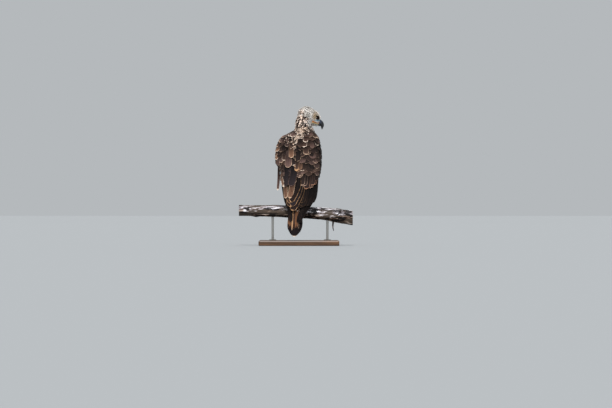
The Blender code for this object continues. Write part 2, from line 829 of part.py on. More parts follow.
def thigh_form(word, foot_x):
    sizes = (
        (0.0, 0.012, 0.012),
        (0.12, 0.017, 0.018),
        (0.35, 0.0275, 0.0315),
        (0.7, 0.0350, 0.0410),
        (1.0, 0.0350, 0.0410),
    )

    def place(t, angle):
        wide, deep = read(sizes, t)
        end = end_rounding(t, (0.06, 0.25))
        middle = leg_line(foot_x, mix(0.22, 1.0, t))
        return middle + Vector((wide * end * math.sin(angle), -deep * end * math.cos(angle), 0))

    return ball(f"thigh_{word}", 9, 12, place)


def tarsus_form(word, foot_x):
    def place(t, angle):
        middle = leg_line(foot_x, mix(0.02, 0.36, t))
        size = TARSUS_RADIUS * (1 + 0.22 * (1 - t) ** 3)
        return middle + Vector((size * math.sin(angle), -size * 1.12 * math.cos(angle), 0))

    return tube(f"tarsus_{word}", 2, 10, place)


def foot_form(word, foot_x):
    def pad(t, angle):
        polar = math.pi * (1 - t)
        top = branch_axis(foot_x)[0] + branch_axis(foot_x)[1]
        return Vector(
            (
                foot_x + 0.0115 * math.sin(polar) * math.sin(angle),
                FOOT_Y - 0.0125 * math.sin(polar) * math.cos(angle),
                top + 0.0045 + 0.0085 * math.cos(polar),
            )
        )

    return ball(f"foot_{word}", 5, 9, pad)


def build_legs(plumage, scales, horn, branch_cutter, torso_cutter):
    thigh_cutters = []
    for word, foot_x in (("left", FOOT_X[0]), ("right", FOOT_X[1])):
        mirror = 1 if foot_x > 0 else -1
        foot = foot_form(word, foot_x)
        toes = []
        for toe, spread, end, claw_end in TOES:
            toes.append(toe_form(toe, foot_x, mirror * spread, end))
            claw = claw_form(f"claw_{word}_{toe}", foot_x, mirror * spread, end, claw_end)
            deliver(cut(claw, branch_cutter), horn)
        fuse(foot, toes)
        cut(foot, branch_cutter)
        thigh, tarsus = thigh_form(word, foot_x), tarsus_form(word, foot_x)
        foot_cutter, thigh_cutter = grown(foot), grown(thigh)
        cut(tarsus, foot_cutter, thigh_cutter, solver="MANIFOLD")
        cut(thigh, torso_cutter)
        thigh_cutters.append(thigh_cutter)
        deliver(foot, scales)
        deliver(tarsus, scales)
        deliver(thigh, plumage)
    return thigh_cutters


# Stand


def build_base(wood):
    bpy.ops.mesh.primitive_cube_add(size=1, location=(0, 0, BASE_SIZE[2] / 2))
    base = bpy.context.active_object
    base.name = "stand_base"
    base.scale = BASE_SIZE
    bpy.ops.object.transform_apply(location=True, rotation=False, scale=True)
    edge = base.modifiers.new("Rounded edge", "BEVEL")
    edge.width = 0.005
    edge.segments = 2
    edge.limit_method = "ANGLE"
    for old in list(base.users_collection):
        old.objects.unlink(base)
    EAGLE.objects.link(base)
    base.data.materials.append(wood)


def build_rod(word, x, metal, branch_cutter):
    foot, top = BASE_SIZE[2] + GAP, branch_axis(x)[0]
    profile = (
        (0.0, top),
        (ROD_RADIUS, top),
        (ROD_RADIUS, foot + FLANGE_HEIGHT + 0.003),
        (ROD_RADIUS + 0.003, foot + FLANGE_HEIGHT),
        (FLANGE_RADIUS - 0.0015, foot + FLANGE_HEIGHT),
        (FLANGE_RADIUS, foot + FLANGE_HEIGHT - 0.0015),
        (FLANGE_RADIUS, foot),
        (0.0, foot),
    )
    bm = bmesh.new()
    points = [bm.verts.new((r, 0.0, z)) for r, z in profile]
    for a, b in zip(points, points[1:]):
        bm.edges.new((a, b))
    mesh = bpy.data.meshes.new(f"stand_rod_{word}")
    bm.to_mesh(mesh)
    bm.free()
    rod = bpy.data.objects.new(f"stand_rod_{word}", mesh)
    WORKBENCH.objects.link(rod)
    turn = rod.modifiers.new("Turned", "SCREW")
    turn.steps = turn.render_steps = 16
    turn.use_merge_vertices = True
    turn.merge_threshold = 0.0001
    settle(rod)
    rod.data.transform(Matrix.Translation((x, 0, 0)))
    cut(rod, branch_cutter)
    deliver(rod, metal, 30.0)


def main():
    plumage = make_material("plumage_brown", (0.10, 0.070, 0.055), 0.85)
    pale = make_material("head_pale", (0.52, 0.45, 0.40), 0.85)
    horn = make_material("horn_slate", (0.035, 0.045, 0.06), 0.35)
    glass = make_material("eye_dark", (0.02, 0.012, 0.008), 0.08)
    scales = make_material("foot_scales", (0.46, 0.47, 0.45), 0.55)
    bark = make_material("dead_wood", (0.40, 0.36, 0.32), 0.9)
    wood = make_material("stand_walnut", (0.12, 0.065, 0.035), 0.45)
    metal = make_material("stand_steel", (0.45, 0.44, 0.42), 0.35, 1.0)

    branch = branch_form()
    branch_cutter = grown(branch)
    deliver(branch, bark)
    torso = torso_form()
    torso_cutter = grown(torso)
    neck_cutter = build_head(pale, horn, glass, torso_cutter)
    thigh_cutters = build_legs(plumage, scales, horn, branch_cutter, torso_cutter)
    tail_cutter = build_tail(plumage, [torso_cutter])
    for side in (1, -1):
        build_wing(side, plumage, [torso_cutter, neck_cutter, tail_cutter, *thigh_cutters])
    deliver(torso, plumage)
    build_base(wood)
    for word, x in (("left", ROD_X[0]), ("right", ROD_X[1])):
        build_rod(word, x, metal, branch_cutter)


clear_scene()
EAGLE = make_collection("grey_headed_fish_eagle")
CUTTERS = make_collection("cutters")
WORKBENCH = make_collection("workbench")
main()
bpy.data.collections.remove(WORKBENCH)
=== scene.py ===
# Grey-headed fish eagle in young plumage on a cut length of dead branch, on a small display stand.
# Metres, +Z up. The back of the bird is towards -Y and its bill points towards +X.
import math
from functools import partial

import bmesh
import bpy
import numpy as np
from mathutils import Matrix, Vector, noise
from mathutils.bvhtree import BVHTree


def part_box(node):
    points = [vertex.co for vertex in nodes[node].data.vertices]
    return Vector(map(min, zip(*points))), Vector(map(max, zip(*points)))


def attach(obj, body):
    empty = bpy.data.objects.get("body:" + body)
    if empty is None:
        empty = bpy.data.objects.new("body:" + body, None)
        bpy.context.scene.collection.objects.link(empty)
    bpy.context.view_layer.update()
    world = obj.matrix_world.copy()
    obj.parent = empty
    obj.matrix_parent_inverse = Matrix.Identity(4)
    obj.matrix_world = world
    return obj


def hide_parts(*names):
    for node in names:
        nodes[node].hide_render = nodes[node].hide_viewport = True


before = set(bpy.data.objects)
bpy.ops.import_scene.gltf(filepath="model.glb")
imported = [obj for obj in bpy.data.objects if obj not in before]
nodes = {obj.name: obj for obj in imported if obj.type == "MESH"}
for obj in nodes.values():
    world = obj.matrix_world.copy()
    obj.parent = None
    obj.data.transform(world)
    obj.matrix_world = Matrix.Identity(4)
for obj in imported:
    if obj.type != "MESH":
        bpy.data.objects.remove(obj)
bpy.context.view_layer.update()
scene = bpy.context.scene


# sRGB hex to the linear colour that the shaders use
def linear(code):
    parts = [int(code[i:i + 2], 16) / 255 for i in (0, 2, 4)]
    return [c / 12.92 if c <= 0.04045 else ((c + 0.055) / 1.055) ** 2.4 for c in parts]


plumage = {
    "darkBrown": "251b19",
    "midBrown": "4c3931",
    "mauveBrown": "67504a",
    "warmBrown": "755543",
    "russet": "946a50",
    "ochre": "c0946c",
    "buff": "c9aa90",
    "paleBuff": "eed9c6",
    "blackBrown": "110d0d",
    "slateBrown": "292224",
    "edgeBrown": "4c3c34",
    "headWhite": "f5f0ea",
    "cheekGrey": "8f887f",
    "mottle": "6a5546",
    "neckBuff": "edd3c0",
    "neckDark": "1c1210",
    "faceTan": "c2a476",
    "breastBrown": "a07e60",
    "breastPale": "e6dbcb",
    "bellyWhite": "ece5da",
    "tailBrown": "7c543a",
    "tailDark": "150f10",
    "loreBlue": "6f9db5",
}
tint = {name: np.array(linear(code)) for name, code in plumage.items()}


# Small sums used all over

def mix(a, b, t):
    return a + (b - a) * t


def ease(low, high, x):
    t = np.clip((x - low) / (high - low), 0.0, 1.0)
    return t * t * (3 - 2 * t)


def unit(v):
    return v / np.maximum(np.linalg.norm(v, axis=-1, keepdims=True), 1e-12)


# The other columns of a table at one value of its first, on a smooth curve
def readTable(table, at):
    at = min(max(at, table[0][0]), table[-1][0])
    low = max(i for i in range(len(table) - 1) if table[i][0] <= at)
    start, end = table[low], table[low + 1]
    before, after = table[max(low - 1, 0)], table[min(low + 2, len(table) - 1)]
    step = end[0] - start[0]
    t = (at - start[0]) / step
    out = []
    for c in range(1, len(start)):
        leave = (end[c] - before[c]) / (end[0] - before[0]) * step
        arrive = (after[c] - start[c]) / (after[0] - start[0]) * step
        value = (2 * t**3 - 3 * t**2 + 1) * start[c] + (t**3 - 2 * t**2 + t) * leave
        out.append(value + (3 * t**2 - 2 * t**3) * end[c] + (t**3 - t**2) * arrive)
    return out


def endRounding(t, first, last):
    if t < first:
        return math.sqrt(max(0.0, 1 - ((first - t) / first) ** 2))
    if t > 1 - last:
        return math.sqrt(max(0.0, 1 - ((t - 1 + last) / last) ** 2))
    return 1.0


# The bird's own frame has its right along +X and its front along +Y
birdFrame = {"turn": math.radians(15.0), "shift": 0.010}
birdTurn = np.array([
    [math.cos(birdFrame["turn"]), math.sin(birdFrame["turn"]), 0.0],
    [-math.sin(birdFrame["turn"]), math.cos(birdFrame["turn"]), 0.0],
    [0.0, 0.0, 1.0],
])


def toWorld(point):
    return np.asarray(point) @ birdTurn.T + np.array([birdFrame["shift"], 0.0, 0.0])


def toBird(point):
    return (np.asarray(point) - np.array([birdFrame["shift"], 0.0, 0.0])) @ birdTurn


# The head's frame starts midway between the eyes: ahead along the bill, right, and up
headFrame = {"turn": math.radians(25.0), "dip": math.radians(20.0), "eyesBack": 0.003}
cosTurn, sinTurn = math.cos(headFrame["turn"]), math.sin(headFrame["turn"])
cosDip, sinDip = math.cos(headFrame["dip"]), math.sin(headFrame["dip"])
headAhead = np.array([cosDip * cosTurn, cosDip * sinTurn, -sinDip])
headRight = np.array([sinTurn, -cosTurn, 0.0])
headUp = np.cross(headRight, headAhead)
eyeBoxes = [np.array(corner) for name in ("eye_left", "eye_right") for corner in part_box(name)]
eyeMiddle = sum(eyeBoxes) / 4 + headAhead * headFrame["eyesBack"]


def onHead(ahead, right, up):
    return eyeMiddle + headAhead * ahead + headRight * right + headUp * up


def toHead(points):
    away = np.asarray(points) - eyeMiddle
    return away @ headAhead, away @ headRight, away @ headUp


# Sets a node's input, or links it where the value is a socket or a node; colours are sRGB hex
def fillInput(tree, socket, value):
    if isinstance(value, bpy.types.Node):
        value = value.outputs[2 if value.type == "MIX" else 0]
    if isinstance(value, bpy.types.NodeSocket):
        tree.links.new(value, socket)
    else:
        socket.default_value = (*linear(value), 1.0) if isinstance(value, str) else value


# Adds a node and sets its inputs by name or number and its options by name
def addNode(tree, kind, values):
    node = tree.nodes.new("ShaderNode" + kind)
    for key, value in values.items():
        if key == "ramp":
            for stop, (place, code) in zip(node.color_ramp.elements, value):
                stop.position, stop.color = place, (*linear(code), 1.0)
            for place, code in value[2:]:
                node.color_ramp.elements.new(place).color = (*linear(code), 1.0)
        elif isinstance(key, int) or key in node.inputs:
            fillInput(tree, node.inputs[key], value)
        else:
            setattr(node, key, value)
    return node


# Starts a material and gives it back with its own way to add a node and the place on the object
def newMaterial(name):
    material = bpy.data.materials.new(name)
    material.use_nodes = True
    add = partial(addNode, material.node_tree)
    return material, add, add("TexCoord", {}).outputs["Object"]


def dressShader(material, inputs):
    shader = material.node_tree.nodes["Principled BSDF"]
    for key, value in inputs.items():
        fillInput(material.node_tree, shader.inputs[key], value)
    return material


# Links a finished mesh, gives it its material and says what it rides on and stands for
def finishPiece(mesh, material, replaced=(), sharpAngle=None):
    piece = bpy.data.objects.new(mesh.name, mesh)
    scene.collection.objects.link(piece)
    mesh.materials.clear()
    mesh.materials.append(material)
    mesh.shade_smooth()
    if sharpAngle:
        mesh.set_sharp_from_angle(angle=math.radians(sharpAngle))
    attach(piece, "root")
    if replaced:
        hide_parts(*replaced)
    return piece


def closeMesh(name, bm):
    bmesh.ops.remove_doubles(bm, verts=bm.verts, dist=1e-6)
    bmesh.ops.recalc_face_normals(bm, faces=bm.faces)
    mesh = bpy.data.meshes.new(name)
    bm.to_mesh(mesh)
    bm.free()
    return mesh


# Moves points to place(t, angle) and keeps each number in marks on them for the materials; the layer
# "placed" tells them from the points of the next tube or ball in the same mesh
def shapePoints(bm, made, place, marks):
    placed = bm.verts.layers.float["placed"]
    for v, t in made:
        v[placed] = 1.0
        angle = math.atan2(v.co.x, -v.co.y)
        v.co = Vector(place(t, angle))
        for key, mark in marks.items():
            v[bm.verts.layers.float[key]] = mark(t, angle)


def readyLayers(bm, marks):
    for key in ("placed", *marks):
        if key not in bm.verts.layers.float:
            bm.verts.layers.float.new(key)


# A sphere reshaped by place(t, angle), with a pole at each end
def addBall(bm, rings, sides, place, marks=None):
    marks = marks or {}
    readyLayers(bm, marks)
    made = bmesh.ops.create_uvsphere(bm, u_segments=sides, v_segments=rings, radius=1)["verts"]
    made = [(v, 1 - math.acos(min(1.0, max(-1.0, v.co.z))) / math.pi) for v in made]
    shapePoints(bm, made, place, marks)


# A closed cylinder with even rows, reshaped by place(t, angle)
def addTube(bm, rows, sides, place, marks=None):
    marks = marks or {}
    readyLayers(bm, marks)
    ends = bmesh.ops.create_cone(bm, cap_ends=True, segments=sides, radius1=1, radius2=1, depth=2)["verts"]
    uprights = {e for v in ends for e in v.link_edges if abs(e.verts[0].co.z - e.verts[1].co.z) > 1}
    bmesh.ops.subdivide_edges(bm, edges=list(uprights), cuts=rows - 1, use_grid_fill=True)
    placed = bm.verts.layers.float["placed"]
    shapePoints(bm, [(v, (v.co.z + 1) / 2) for v in bm.verts if v[placed] < 0.5], place, marks)


# One piece made of tubes and balls
def buildRound(name, parts, material, replaced=(), sharpAngle=None):
    bm = bmesh.new()
    for addPart, *plan in parts:
        addPart(bm, *plan)
    finishPiece(closeMesh(name, bm), material, replaced, sharpAngle)


# Feather vanes

# A dark band towards the tip of a long feather, with the very end worn pale
def addTipBand(add, band, along, wear, colour):
    drift = add("Math", {"operation": "MULTIPLY_ADD", 0: wear, 1: band["drift"], 2: along})
    average = band["drift"] / 2
    inBand = add("MapRange", {0: drift, 1: band["start"] + average, 2: band["full"] + average})
    dark = add("Mix", {"data_type": "RGBA", 0: inBand, 6: colour, 7: plumage[band["colour"]]})
    atEnd = add("MapRange", {0: along, 1: band["end"], 2: band["end"] + 0.006})
    return add("Mix", {"data_type": "RGBA", 0: atEnd, 6: dark, 7: plumage[band["endColour"]]})


# Dry, matt vanes with a soft sheen at the sides. Barbs are about 0.5 mm apart on the real bird; they are
# drawn some three times coarser, to show
def featherMaterial(name, look):
    material, add, place = newMaterial(name)
    centre = add("Attribute", {"attribute_name": "centreTint"}).outputs
    edge = add("Attribute", {"attribute_name": "edgeTint"}).outputs
    axes = add("SeparateXYZ", {0: add("UVMap", {"uv_map": "FeatherUV"})}).outputs
    wide = add("Math", {"operation": "MULTIPLY_ADD", 0: axes[0], 1: 2.0, 2: -1.0})
    fromShaft = add("Math", {"operation": "ABSOLUTE", 0: wide})
    fromEdge = add("Math", {"operation": "SUBTRACT", 0: 1.0, 1: fromShaft})
    beforeTip = add("Math", {"operation": "SUBTRACT", 0: 1.0, 1: axes[1]})
    fromTip = add("Math", {"operation": "MULTIPLY", 0: beforeTip, 1: look["tipReach"]})
    sideways = add("Math", {"operation": "MULTIPLY", 0: fromEdge, 1: 1.5})
    nearRim = add("Math", {"operation": "SMOOTH_MIN", 0: sideways, 1: fromTip, 2: 0.25})
    wear = add("TexNoise", {"Vector": place, "Scale": look["wearScale"], "Detail": 3.0})
    shifted = add("Math", {"operation": "MULTIPLY_ADD", 0: wear, 1: 0.55, 2: -0.275})
    worn = add("Math", {"operation": "ADD", 0: nearRim, 1: shifted})
    inner = add("Math", {"operation": "MULTIPLY", 0: edge["Alpha"], 1: 0.45})
    field = add("MapRange", {"interpolation_type": "SMOOTHSTEP", 0: worn, 1: inner, 2: edge["Alpha"]})
    # Along its sides the rim is duller than round the tip
    low = add("MapRange", {0: fromTip, 1: 0.35, 2: 1.3})
    dull = add("Math", {"operation": "MULTIPLY", 0: low, 1: centre["Alpha"]})
    rim = add("Mix", {"data_type": "RGBA", 0: dull, 6: edge["Color"], 7: centre["Color"]})
    colour = add("Mix", {"data_type": "RGBA", 0: field, 6: rim, 7: centre["Color"]})
    if "band" in look:
        colour = addTipBand(add, look["band"], axes[1], wear, colour)
    # The shaft is a fine line down the middle, and the barbs slant away from it
    shaft = add("MapRange", {0: fromShaft, 1: 0.02, 2: 0.09, 3: look["shaft"], 4: 0.0})
    slanted = add("Math", {"operation": "MULTIPLY_ADD", 0: fromShaft, 1: -0.32, 2: axes[1]})
    barbs = add("Math", {"operation": "MULTIPLY", 0: slanted, 1: look["barbs"] * 2 * math.pi})
    ribs = add("Math", {"operation": "SINE", 0: barbs})
    mottle = add("TexNoise", {"Vector": place, "Scale": 260.0, "Detail": 4.0, "Roughness": 0.65})
    tone = add("Math", {"operation": "MULTIPLY_ADD", 0: ribs, 1: 0.07, 2: 0.62})
    tone = add("Math", {"operation": "MULTIPLY_ADD", 0: mottle, 1: 0.76, 2: tone})
    # What shows of a feather is darkened where it leaves the one above, which is painted shade, and lightened
    # towards its tip, which is painted highlight
    paintedShadeAndTipLight = add("MapRange", {0: axes[1], 1: look["covered"], 2: 0.95, 3: look["paintedRootShade"], 4: 1.24})
    tone = add("Math", {"operation": "MULTIPLY", 0: tone, 1: paintedShadeAndTipLight})
    shaded = add("VectorMath", {"operation": "SCALE", 0: colour, 3: tone})
    dark = add("Mix", {"data_type": "RGBA", 0: shaft, 6: shaded, 7: look["shaftColour"]})
    relief = add("Math", {"operation": "MULTIPLY_ADD", 0: shaft, 1: 3.0, 2: ribs})
    bump = add("Bump", {"Strength": look["bump"], "Distance": 0.0004, "Height": relief})
    return dressShader(material, {
        "Base Color": dark, "Normal": bump, "Roughness": look["roughness"], "Specular IOR Level": 0.08,
        "Sheen Weight": look["sheen"], "Sheen Roughness": 0.45,
    })


# A flat closed vane of quads, its under side a copy of its upper
def vaneShape(rows, columns):
    bm = bmesh.new()
    bmesh.ops.create_grid(bm, x_segments=columns, y_segments=rows, size=0.5)
    copied = bmesh.ops.extrude_face_region(bm, geom=bm.faces[:])["geom"]
    upper = {v for v in copied if isinstance(v, bmesh.types.BMVert)}
    for v in bm.verts:
        v.co.z = 0.1 if v in upper else -0.1
    bmesh.ops.recalc_face_normals(bm, faces=bm.faces)
    spots = np.array([v.co[:] for v in bm.verts])
    faces = np.array([[v.index for v in f.verts] for f in bm.faces])
    bm.free()
    return {
        "row": np.rint((spots[:, 1] + 0.5) * rows).astype(int),
        "column": np.rint((spots[:, 0] + 0.5) * columns).astype(int),
        "reach": spots[:, 0] * 2,
        "face": np.sign(spots[:, 2]),
        "faces": faces,
        "stations": 1 - (1 - np.linspace(0, 1, rows + 1)) ** 1.35,
        "columns": columns,
    }


# Half width of a feather along its length: narrow at the root, full, then round at the tip
def vaneProfile(t, blunt):
    wide = 0.5 + 0.5 * np.sin(np.minimum(t / 0.45, 1.0) * math.pi / 2)
    tip = np.sqrt(np.maximum(0.0, 1 - np.maximum(0.0, (t - blunt) / (1 - blunt)) ** 2.4))
    return np.minimum(wide, np.maximum(tip, 0.24))


# Joins many vanes as one mesh. lines holds middle, out and across for each feather's stations
def joinVanes(name, shape, lines, half, look, tints, cells, seed):
    rng = np.random.default_rng(seed)
    count, stations = len(half), shape["stations"]
    row, reach, face = shape["row"], shape["reach"], shape["face"]
    profile = np.broadcast_to(vaneProfile(stations, look["blunt"]), (count, len(stations)))
    width = half[:, None] * profile
    ragged = rng.normal(0.0, look["ragged"], (count, len(stations), shape["columns"] + 1))
    width = width[:, row] * (1 + 0.7 * ragged[:, row, shape["column"]])
    along = unit(np.gradient(lines["middle"], axis=1))
    back = -half[:, None] * reach**2 * stations[row] ** 4 * look["roundTip"]
    back += half[:, None] * ragged[:, row, shape["column"]] * 1.6 * stations[row] ** 6
    roll = np.broadcast_to(np.asarray(look["roll"], float), (count,))[:, None]
    sideways = reach * width
    lift = roll * reach * profile[:, row] - look["bend"] * sideways**2
    lift = lift + face * look["thick"] / 2 * (1 - 0.45 * np.abs(reach)) * mix(1.0, 0.5, stations[row])
    spots = lines["middle"][:, row] + lines["across"][:, row] * sideways[..., None]
    spots = spots + lines["out"][:, row] * lift[..., None] + along[:, row] * back[..., None]
    faces = shape["faces"][None] + (np.arange(count) * len(row))[:, None, None]
    mesh = bpy.data.meshes.new(name)
    mesh.from_pydata(spots.reshape(-1, 3), [], faces.reshape(-1, 4))
    loops = np.empty(len(mesh.loops), np.int32)
    mesh.loops.foreach_get("vertex_index", loops)
    share = np.stack([(reach + 1) / 2, stations[row]], axis=1)
    pattern = np.broadcast_to(share, (count, len(row), 2)).reshape(-1, 2)
    # The under side is set off a little, so that the rim's faces keep some width on the map
    shift = np.where(face > 0, 0.0, 0.10)[None, :, None]
    baked = cells["corner"][:, None] + cells["size"] * (share[None] * 0.86 + shift)
    for layerName, values in (("FeatherUV", pattern), ("OFBake", baked.reshape(-1, 2))):
        layer = mesh.uv_layers.new(name=layerName)
        layer.uv.foreach_set("vector", values[loops].astype(np.float32).ravel())
    for key, colour in tints.items():
        layer = mesh.attributes.new(key, "FLOAT_COLOR", "POINT")
        layer.data.foreach_set("color", np.repeat(colour, len(row), axis=0).astype(np.float32).ravel())
    mesh.validate()
    return mesh


# Each large feather has a cell of its own on the map
def ownCells(count):
    across = math.ceil(math.sqrt(count))
    index = np.arange(count)
    corner = np.stack([index % across, index // across], axis=1) / across
    return {"corner": corner + 0.02 / across, "size": 0.94 / across}


# How far forward the body's middle lies at the height of each point
def bodyMiddle(bird):
    return np.interp(bird[:, 2], (0.22, 0.55), (-0.058, 0.045))


# Small feathers share a map wrapped round the body, with the head and neck in a band above it
def bodyCells(points):
    bird = toBird(points)
    onNeck = bird[:, 2] > 0.52
    turn = np.arctan2(bird[:, 0], -(bird[:, 1] - bodyMiddle(bird))) / (2 * math.pi) + 0.5
    low = 0.02 + 0.68 * (bird[:, 2] - 0.19) / 0.34
    high = 0.73 + 0.24 * (bird[:, 2] - 0.52) / 0.13
    corner = np.stack([0.01 + 0.975 * turn, np.where(onNeck, high, low)], axis=1)
    return {"corner": corner, "size": 0.003}


def withAlpha(colour, alpha):
    return np.concatenate([colour, np.broadcast_to(alpha, (len(colour),))[:, None]], axis=1)


# One piece of large feathers; each row has its line, half width, colours and how dull its sides are
def finishVanes(name, shape, rows, look, material, seed):
    lines = {key: np.array([row[0][i] for row in rows]) for i, key in enumerate(("middle", "out", "across"))}
    half, dull = (np.array([row[i] for row in rows]) for i in (1, 3))
    centre, rim, fringe = (np.array([row[2][i] for row in rows]) for i in range(3))
    if look["blunt"] is None:
        # The tip's curve takes up about as much of the length as the feather is half wide
        lengths = np.linalg.norm(lines["middle"][:, -1] - lines["middle"][:, 0], axis=1)
        look = dict(look, blunt=np.clip(1 - 1.05 * half / lengths, 0.45, 0.90)[:, None])
    tints = {"centreTint": withAlpha(centre, dull), "edgeTint": withAlpha(rim, fringe)}
    mesh = joinVanes(name, shape, lines, half, look, tints, ownCells(len(rows)), seed)
    finishPiece(mesh, material, sharpAngle=55)
    print(name + ":", len(rows), "feathers,", len(mesh.polygons) * 2, "triangles")


# Wings: height, centre, half width, depth to the back, depth to the front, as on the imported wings
wingRight = (
    (0.060, -0.112, 0.028, 0.009, 0.012), (0.110, -0.104, 0.033, 0.018, 0.022),
    (0.150, -0.092, 0.050, 0.026, 0.032), (0.180, -0.081, 0.068, 0.034, 0.042),
    (0.215, -0.070, 0.088, 0.043, 0.055), (0.250, -0.058, 0.096, 0.051, 0.070),
    (0.300, -0.038, 0.098, 0.062, 0.090), (0.350, -0.018, 0.100, 0.070, 0.102),
    (0.400, 0.002, 0.099, 0.073, 0.105), (0.450, 0.020, 0.094, 0.070, 0.098),
    (0.500, 0.035, 0.081, 0.061, 0.078), (0.530, 0.042, 0.066, 0.051, 0.062),
    (0.560, 0.048, 0.044, 0.038, 0.046),
)
wingLeft = (
    (0.060, -0.112, 0.030, 0.009, 0.012), (0.110, -0.104, 0.038, 0.018, 0.022),
    (0.160, -0.089, 0.046, 0.028, 0.034), (0.190, -0.078, 0.056, 0.036, 0.045),
    (0.235, -0.063, 0.073, 0.048, 0.064), (0.285, -0.044, 0.088, 0.060, 0.085),
    (0.320, -0.030, 0.095, 0.066, 0.095), (0.355, -0.016, 0.099, 0.070, 0.102),
    (0.388, -0.003, 0.122, 0.073, 0.105), (0.415, 0.008, 0.130, 0.073, 0.104),
    (0.445, 0.018, 0.132, 0.071, 0.098), (0.475, 0.028, 0.130, 0.066, 0.090),
    (0.500, 0.035, 0.120, 0.061, 0.078), (0.520, 0.039, 0.105, 0.055, 0.068),
    (0.535, 0.043, 0.076, 0.050, 0.060), (0.560, 0.048, 0.042, 0.038, 0.046),
)


# Skin

skinSettings = {
    "voxel": 0.0026, "smoothing": 7, "depthPasses": 6,
    "thinShare": 0.36, "rayStart": 0.0004, "thickest": 0.05,
    "cuts": {"wing_left": 0.262, "wing_right": 0.262, "tail": 0.246},    # all long feathers below these
    "depths": {"head": 0.0010, "neck": 0.0014, "torso": 0.0040, "thigh_left": 0.0032, "thigh_right": 0.0032,
               "wing_left": 0.0058, "wing_right": 0.0058, "tail": 0.0040, "bill_upper": 0.0018,
               "bill_lower": 0.0022, "eye_left": 0.0035, "eye_right": 0.0035},
}
fleshNodes = ("head", "neck", "torso", "thigh_left", "thigh_right", "wing_left", "wing_right", "tail")


def nodeCopy(name, cutHeight=None):
    bm = bmesh.new()
    bm.from_mesh(nodes[name].data)
    bmesh.ops.remove_doubles(bm, verts=bm.verts, dist=1e-6)
    if cutHeight:
        geometry = bm.verts[:] + bm.edges[:] + bm.faces[:]
        bmesh.ops.bisect_plane(bm, geom=geometry, plane_co=(0, 0, cutHeight), plane_no=(0, 0, -1),
                               clear_outer=True)
        rim = [e for e in bm.edges if len(e.link_faces) == 1]
        bmesh.ops.holes_fill(bm, edges=rim, sides=0)
    mesh = bpy.data.meshes.new(name + "Copy")
    bm.to_mesh(mesh)
    bm.free()
    return mesh


# One search tree over the bird's solids that also says which node a place lies nearest
def nodeFinder(names):
    corners, faces, owners = [], [], []
    for name in names:
        mesh = nodes[name].data
        start = len(corners)
        corners += [v.co.copy() for v in mesh.vertices]
        faces += [[start + i for i in p.vertices] for p in mesh.polygons]
        owners += [name] * len(mesh.polygons)
    return BVHTree.FromPolygons(corners, faces), np.array(owners)


def applied(obj):
    graph = bpy.context.evaluated_depsgraph_get()
    return bpy.data.meshes.new_from_object(obj.evaluated_get(graph))


# All faces but those of the largest connected island
def scrapFaces(bm):
    left, largest = set(bm.faces), []
    while left:
        front = [left.pop()]
        island = list(front)
        while front:
            near = {f for e in front.pop().edges for f in e.link_faces} & left
            left -= near
            front += near
            island += near
        largest = island if len(island) > len(largest) else largest
    return list(set(bm.faces) - set(largest))


def buildSkin():
    plan = skinSettings
    joined = bmesh.new()
    for name in plan["depths"]:
        copy = nodeCopy(name, plan["cuts"].get(name))
        joined.from_mesh(copy)
        bpy.data.meshes.remove(copy)
    rough = bpy.data.meshes.new("roughSkin")
    joined.to_mesh(rough)
    joined.free()
    work = bpy.data.objects.new("roughSkin", rough)
    scene.collection.objects.link(work)
    remesh = work.modifiers.new("Even mesh", "REMESH")
    remesh.mode, remesh.voxel_size = "VOXEL", plan["voxel"]
    smooth = work.modifiers.new("Smooth", "SMOOTH")
    smooth.factor, smooth.iterations = 0.5, plan["smoothing"]
    mesh = applied(work)
    bpy.data.objects.remove(work)
    bm = bmesh.new()
    bm.from_mesh(mesh)
    bmesh.ops.delete(bm, geom=scrapFaces(bm), context="FACES")
    bmesh.ops.triangulate(bm, faces=bm.faces)
    bm.normal_update()
    # The skin sinks by the coat's depth, less where the form is thin
    finder, owners = nodeFinder(plan["depths"])
    inside = BVHTree.FromBMesh(bm)
    labels, depths = [], []
    for v in bm.verts:
        label = owners[finder.find_nearest(v.co)[2]]
        through = inside.ray_cast(v.co - v.normal * plan["rayStart"], -v.normal)[3] or plan["thickest"]
        labels.append(label)
        depths.append(min(plan["depths"][label], plan["thinShare"] * through))
    bm.verts.ensure_lookup_table()
    pairs = np.array([[e.verts[0].index, e.verts[1].index] for e in bm.edges])
    depths = spread(np.array(depths), pairs, plan["depthPasses"])
    for v, depth in zip(bm.verts, depths):
        v.co -= v.normal * depth
    for _ in range(2):
        bmesh.ops.smooth_vert(bm, verts=bm.verts, factor=0.5, use_axis_x=True, use_axis_y=True,
                              use_axis_z=True)
    skin = bpy.data.meshes.new("skin")
    bm.normal_update()
    normals = np.array([v.normal[:] for v in bm.verts])
    bm.to_mesh(skin)
    bm.free()
    return skin, np.array(labels), normals


# Averages a value on every point with its neighbours', a few times over
def spread(values, pairs, times):
    count = np.bincount(pairs.ravel(), minlength=len(values)) + 1
    for _ in range(times):
        total = values.copy()
        np.add.at(total, pairs[:, 0], values[pairs[:, 1]])
        np.add.at(total, pairs[:, 1], values[pairs[:, 0]])
        values = total / count
    return values


skinMesh, skinLabels, skinNormals = buildSkin()
skinPoints = np.array([v.co[:] for v in skinMesh.vertices])
skinFaces = np.array([p.vertices[:] for p in skinMesh.polygons])
skinTree = BVHTree.FromPolygons(skinPoints.tolist(), skinFaces.tolist())
print("skin:", len(skinFaces), "triangles")


# Colours of the coat: for each root the middle's colour, the rim's colour and how wide the rim is

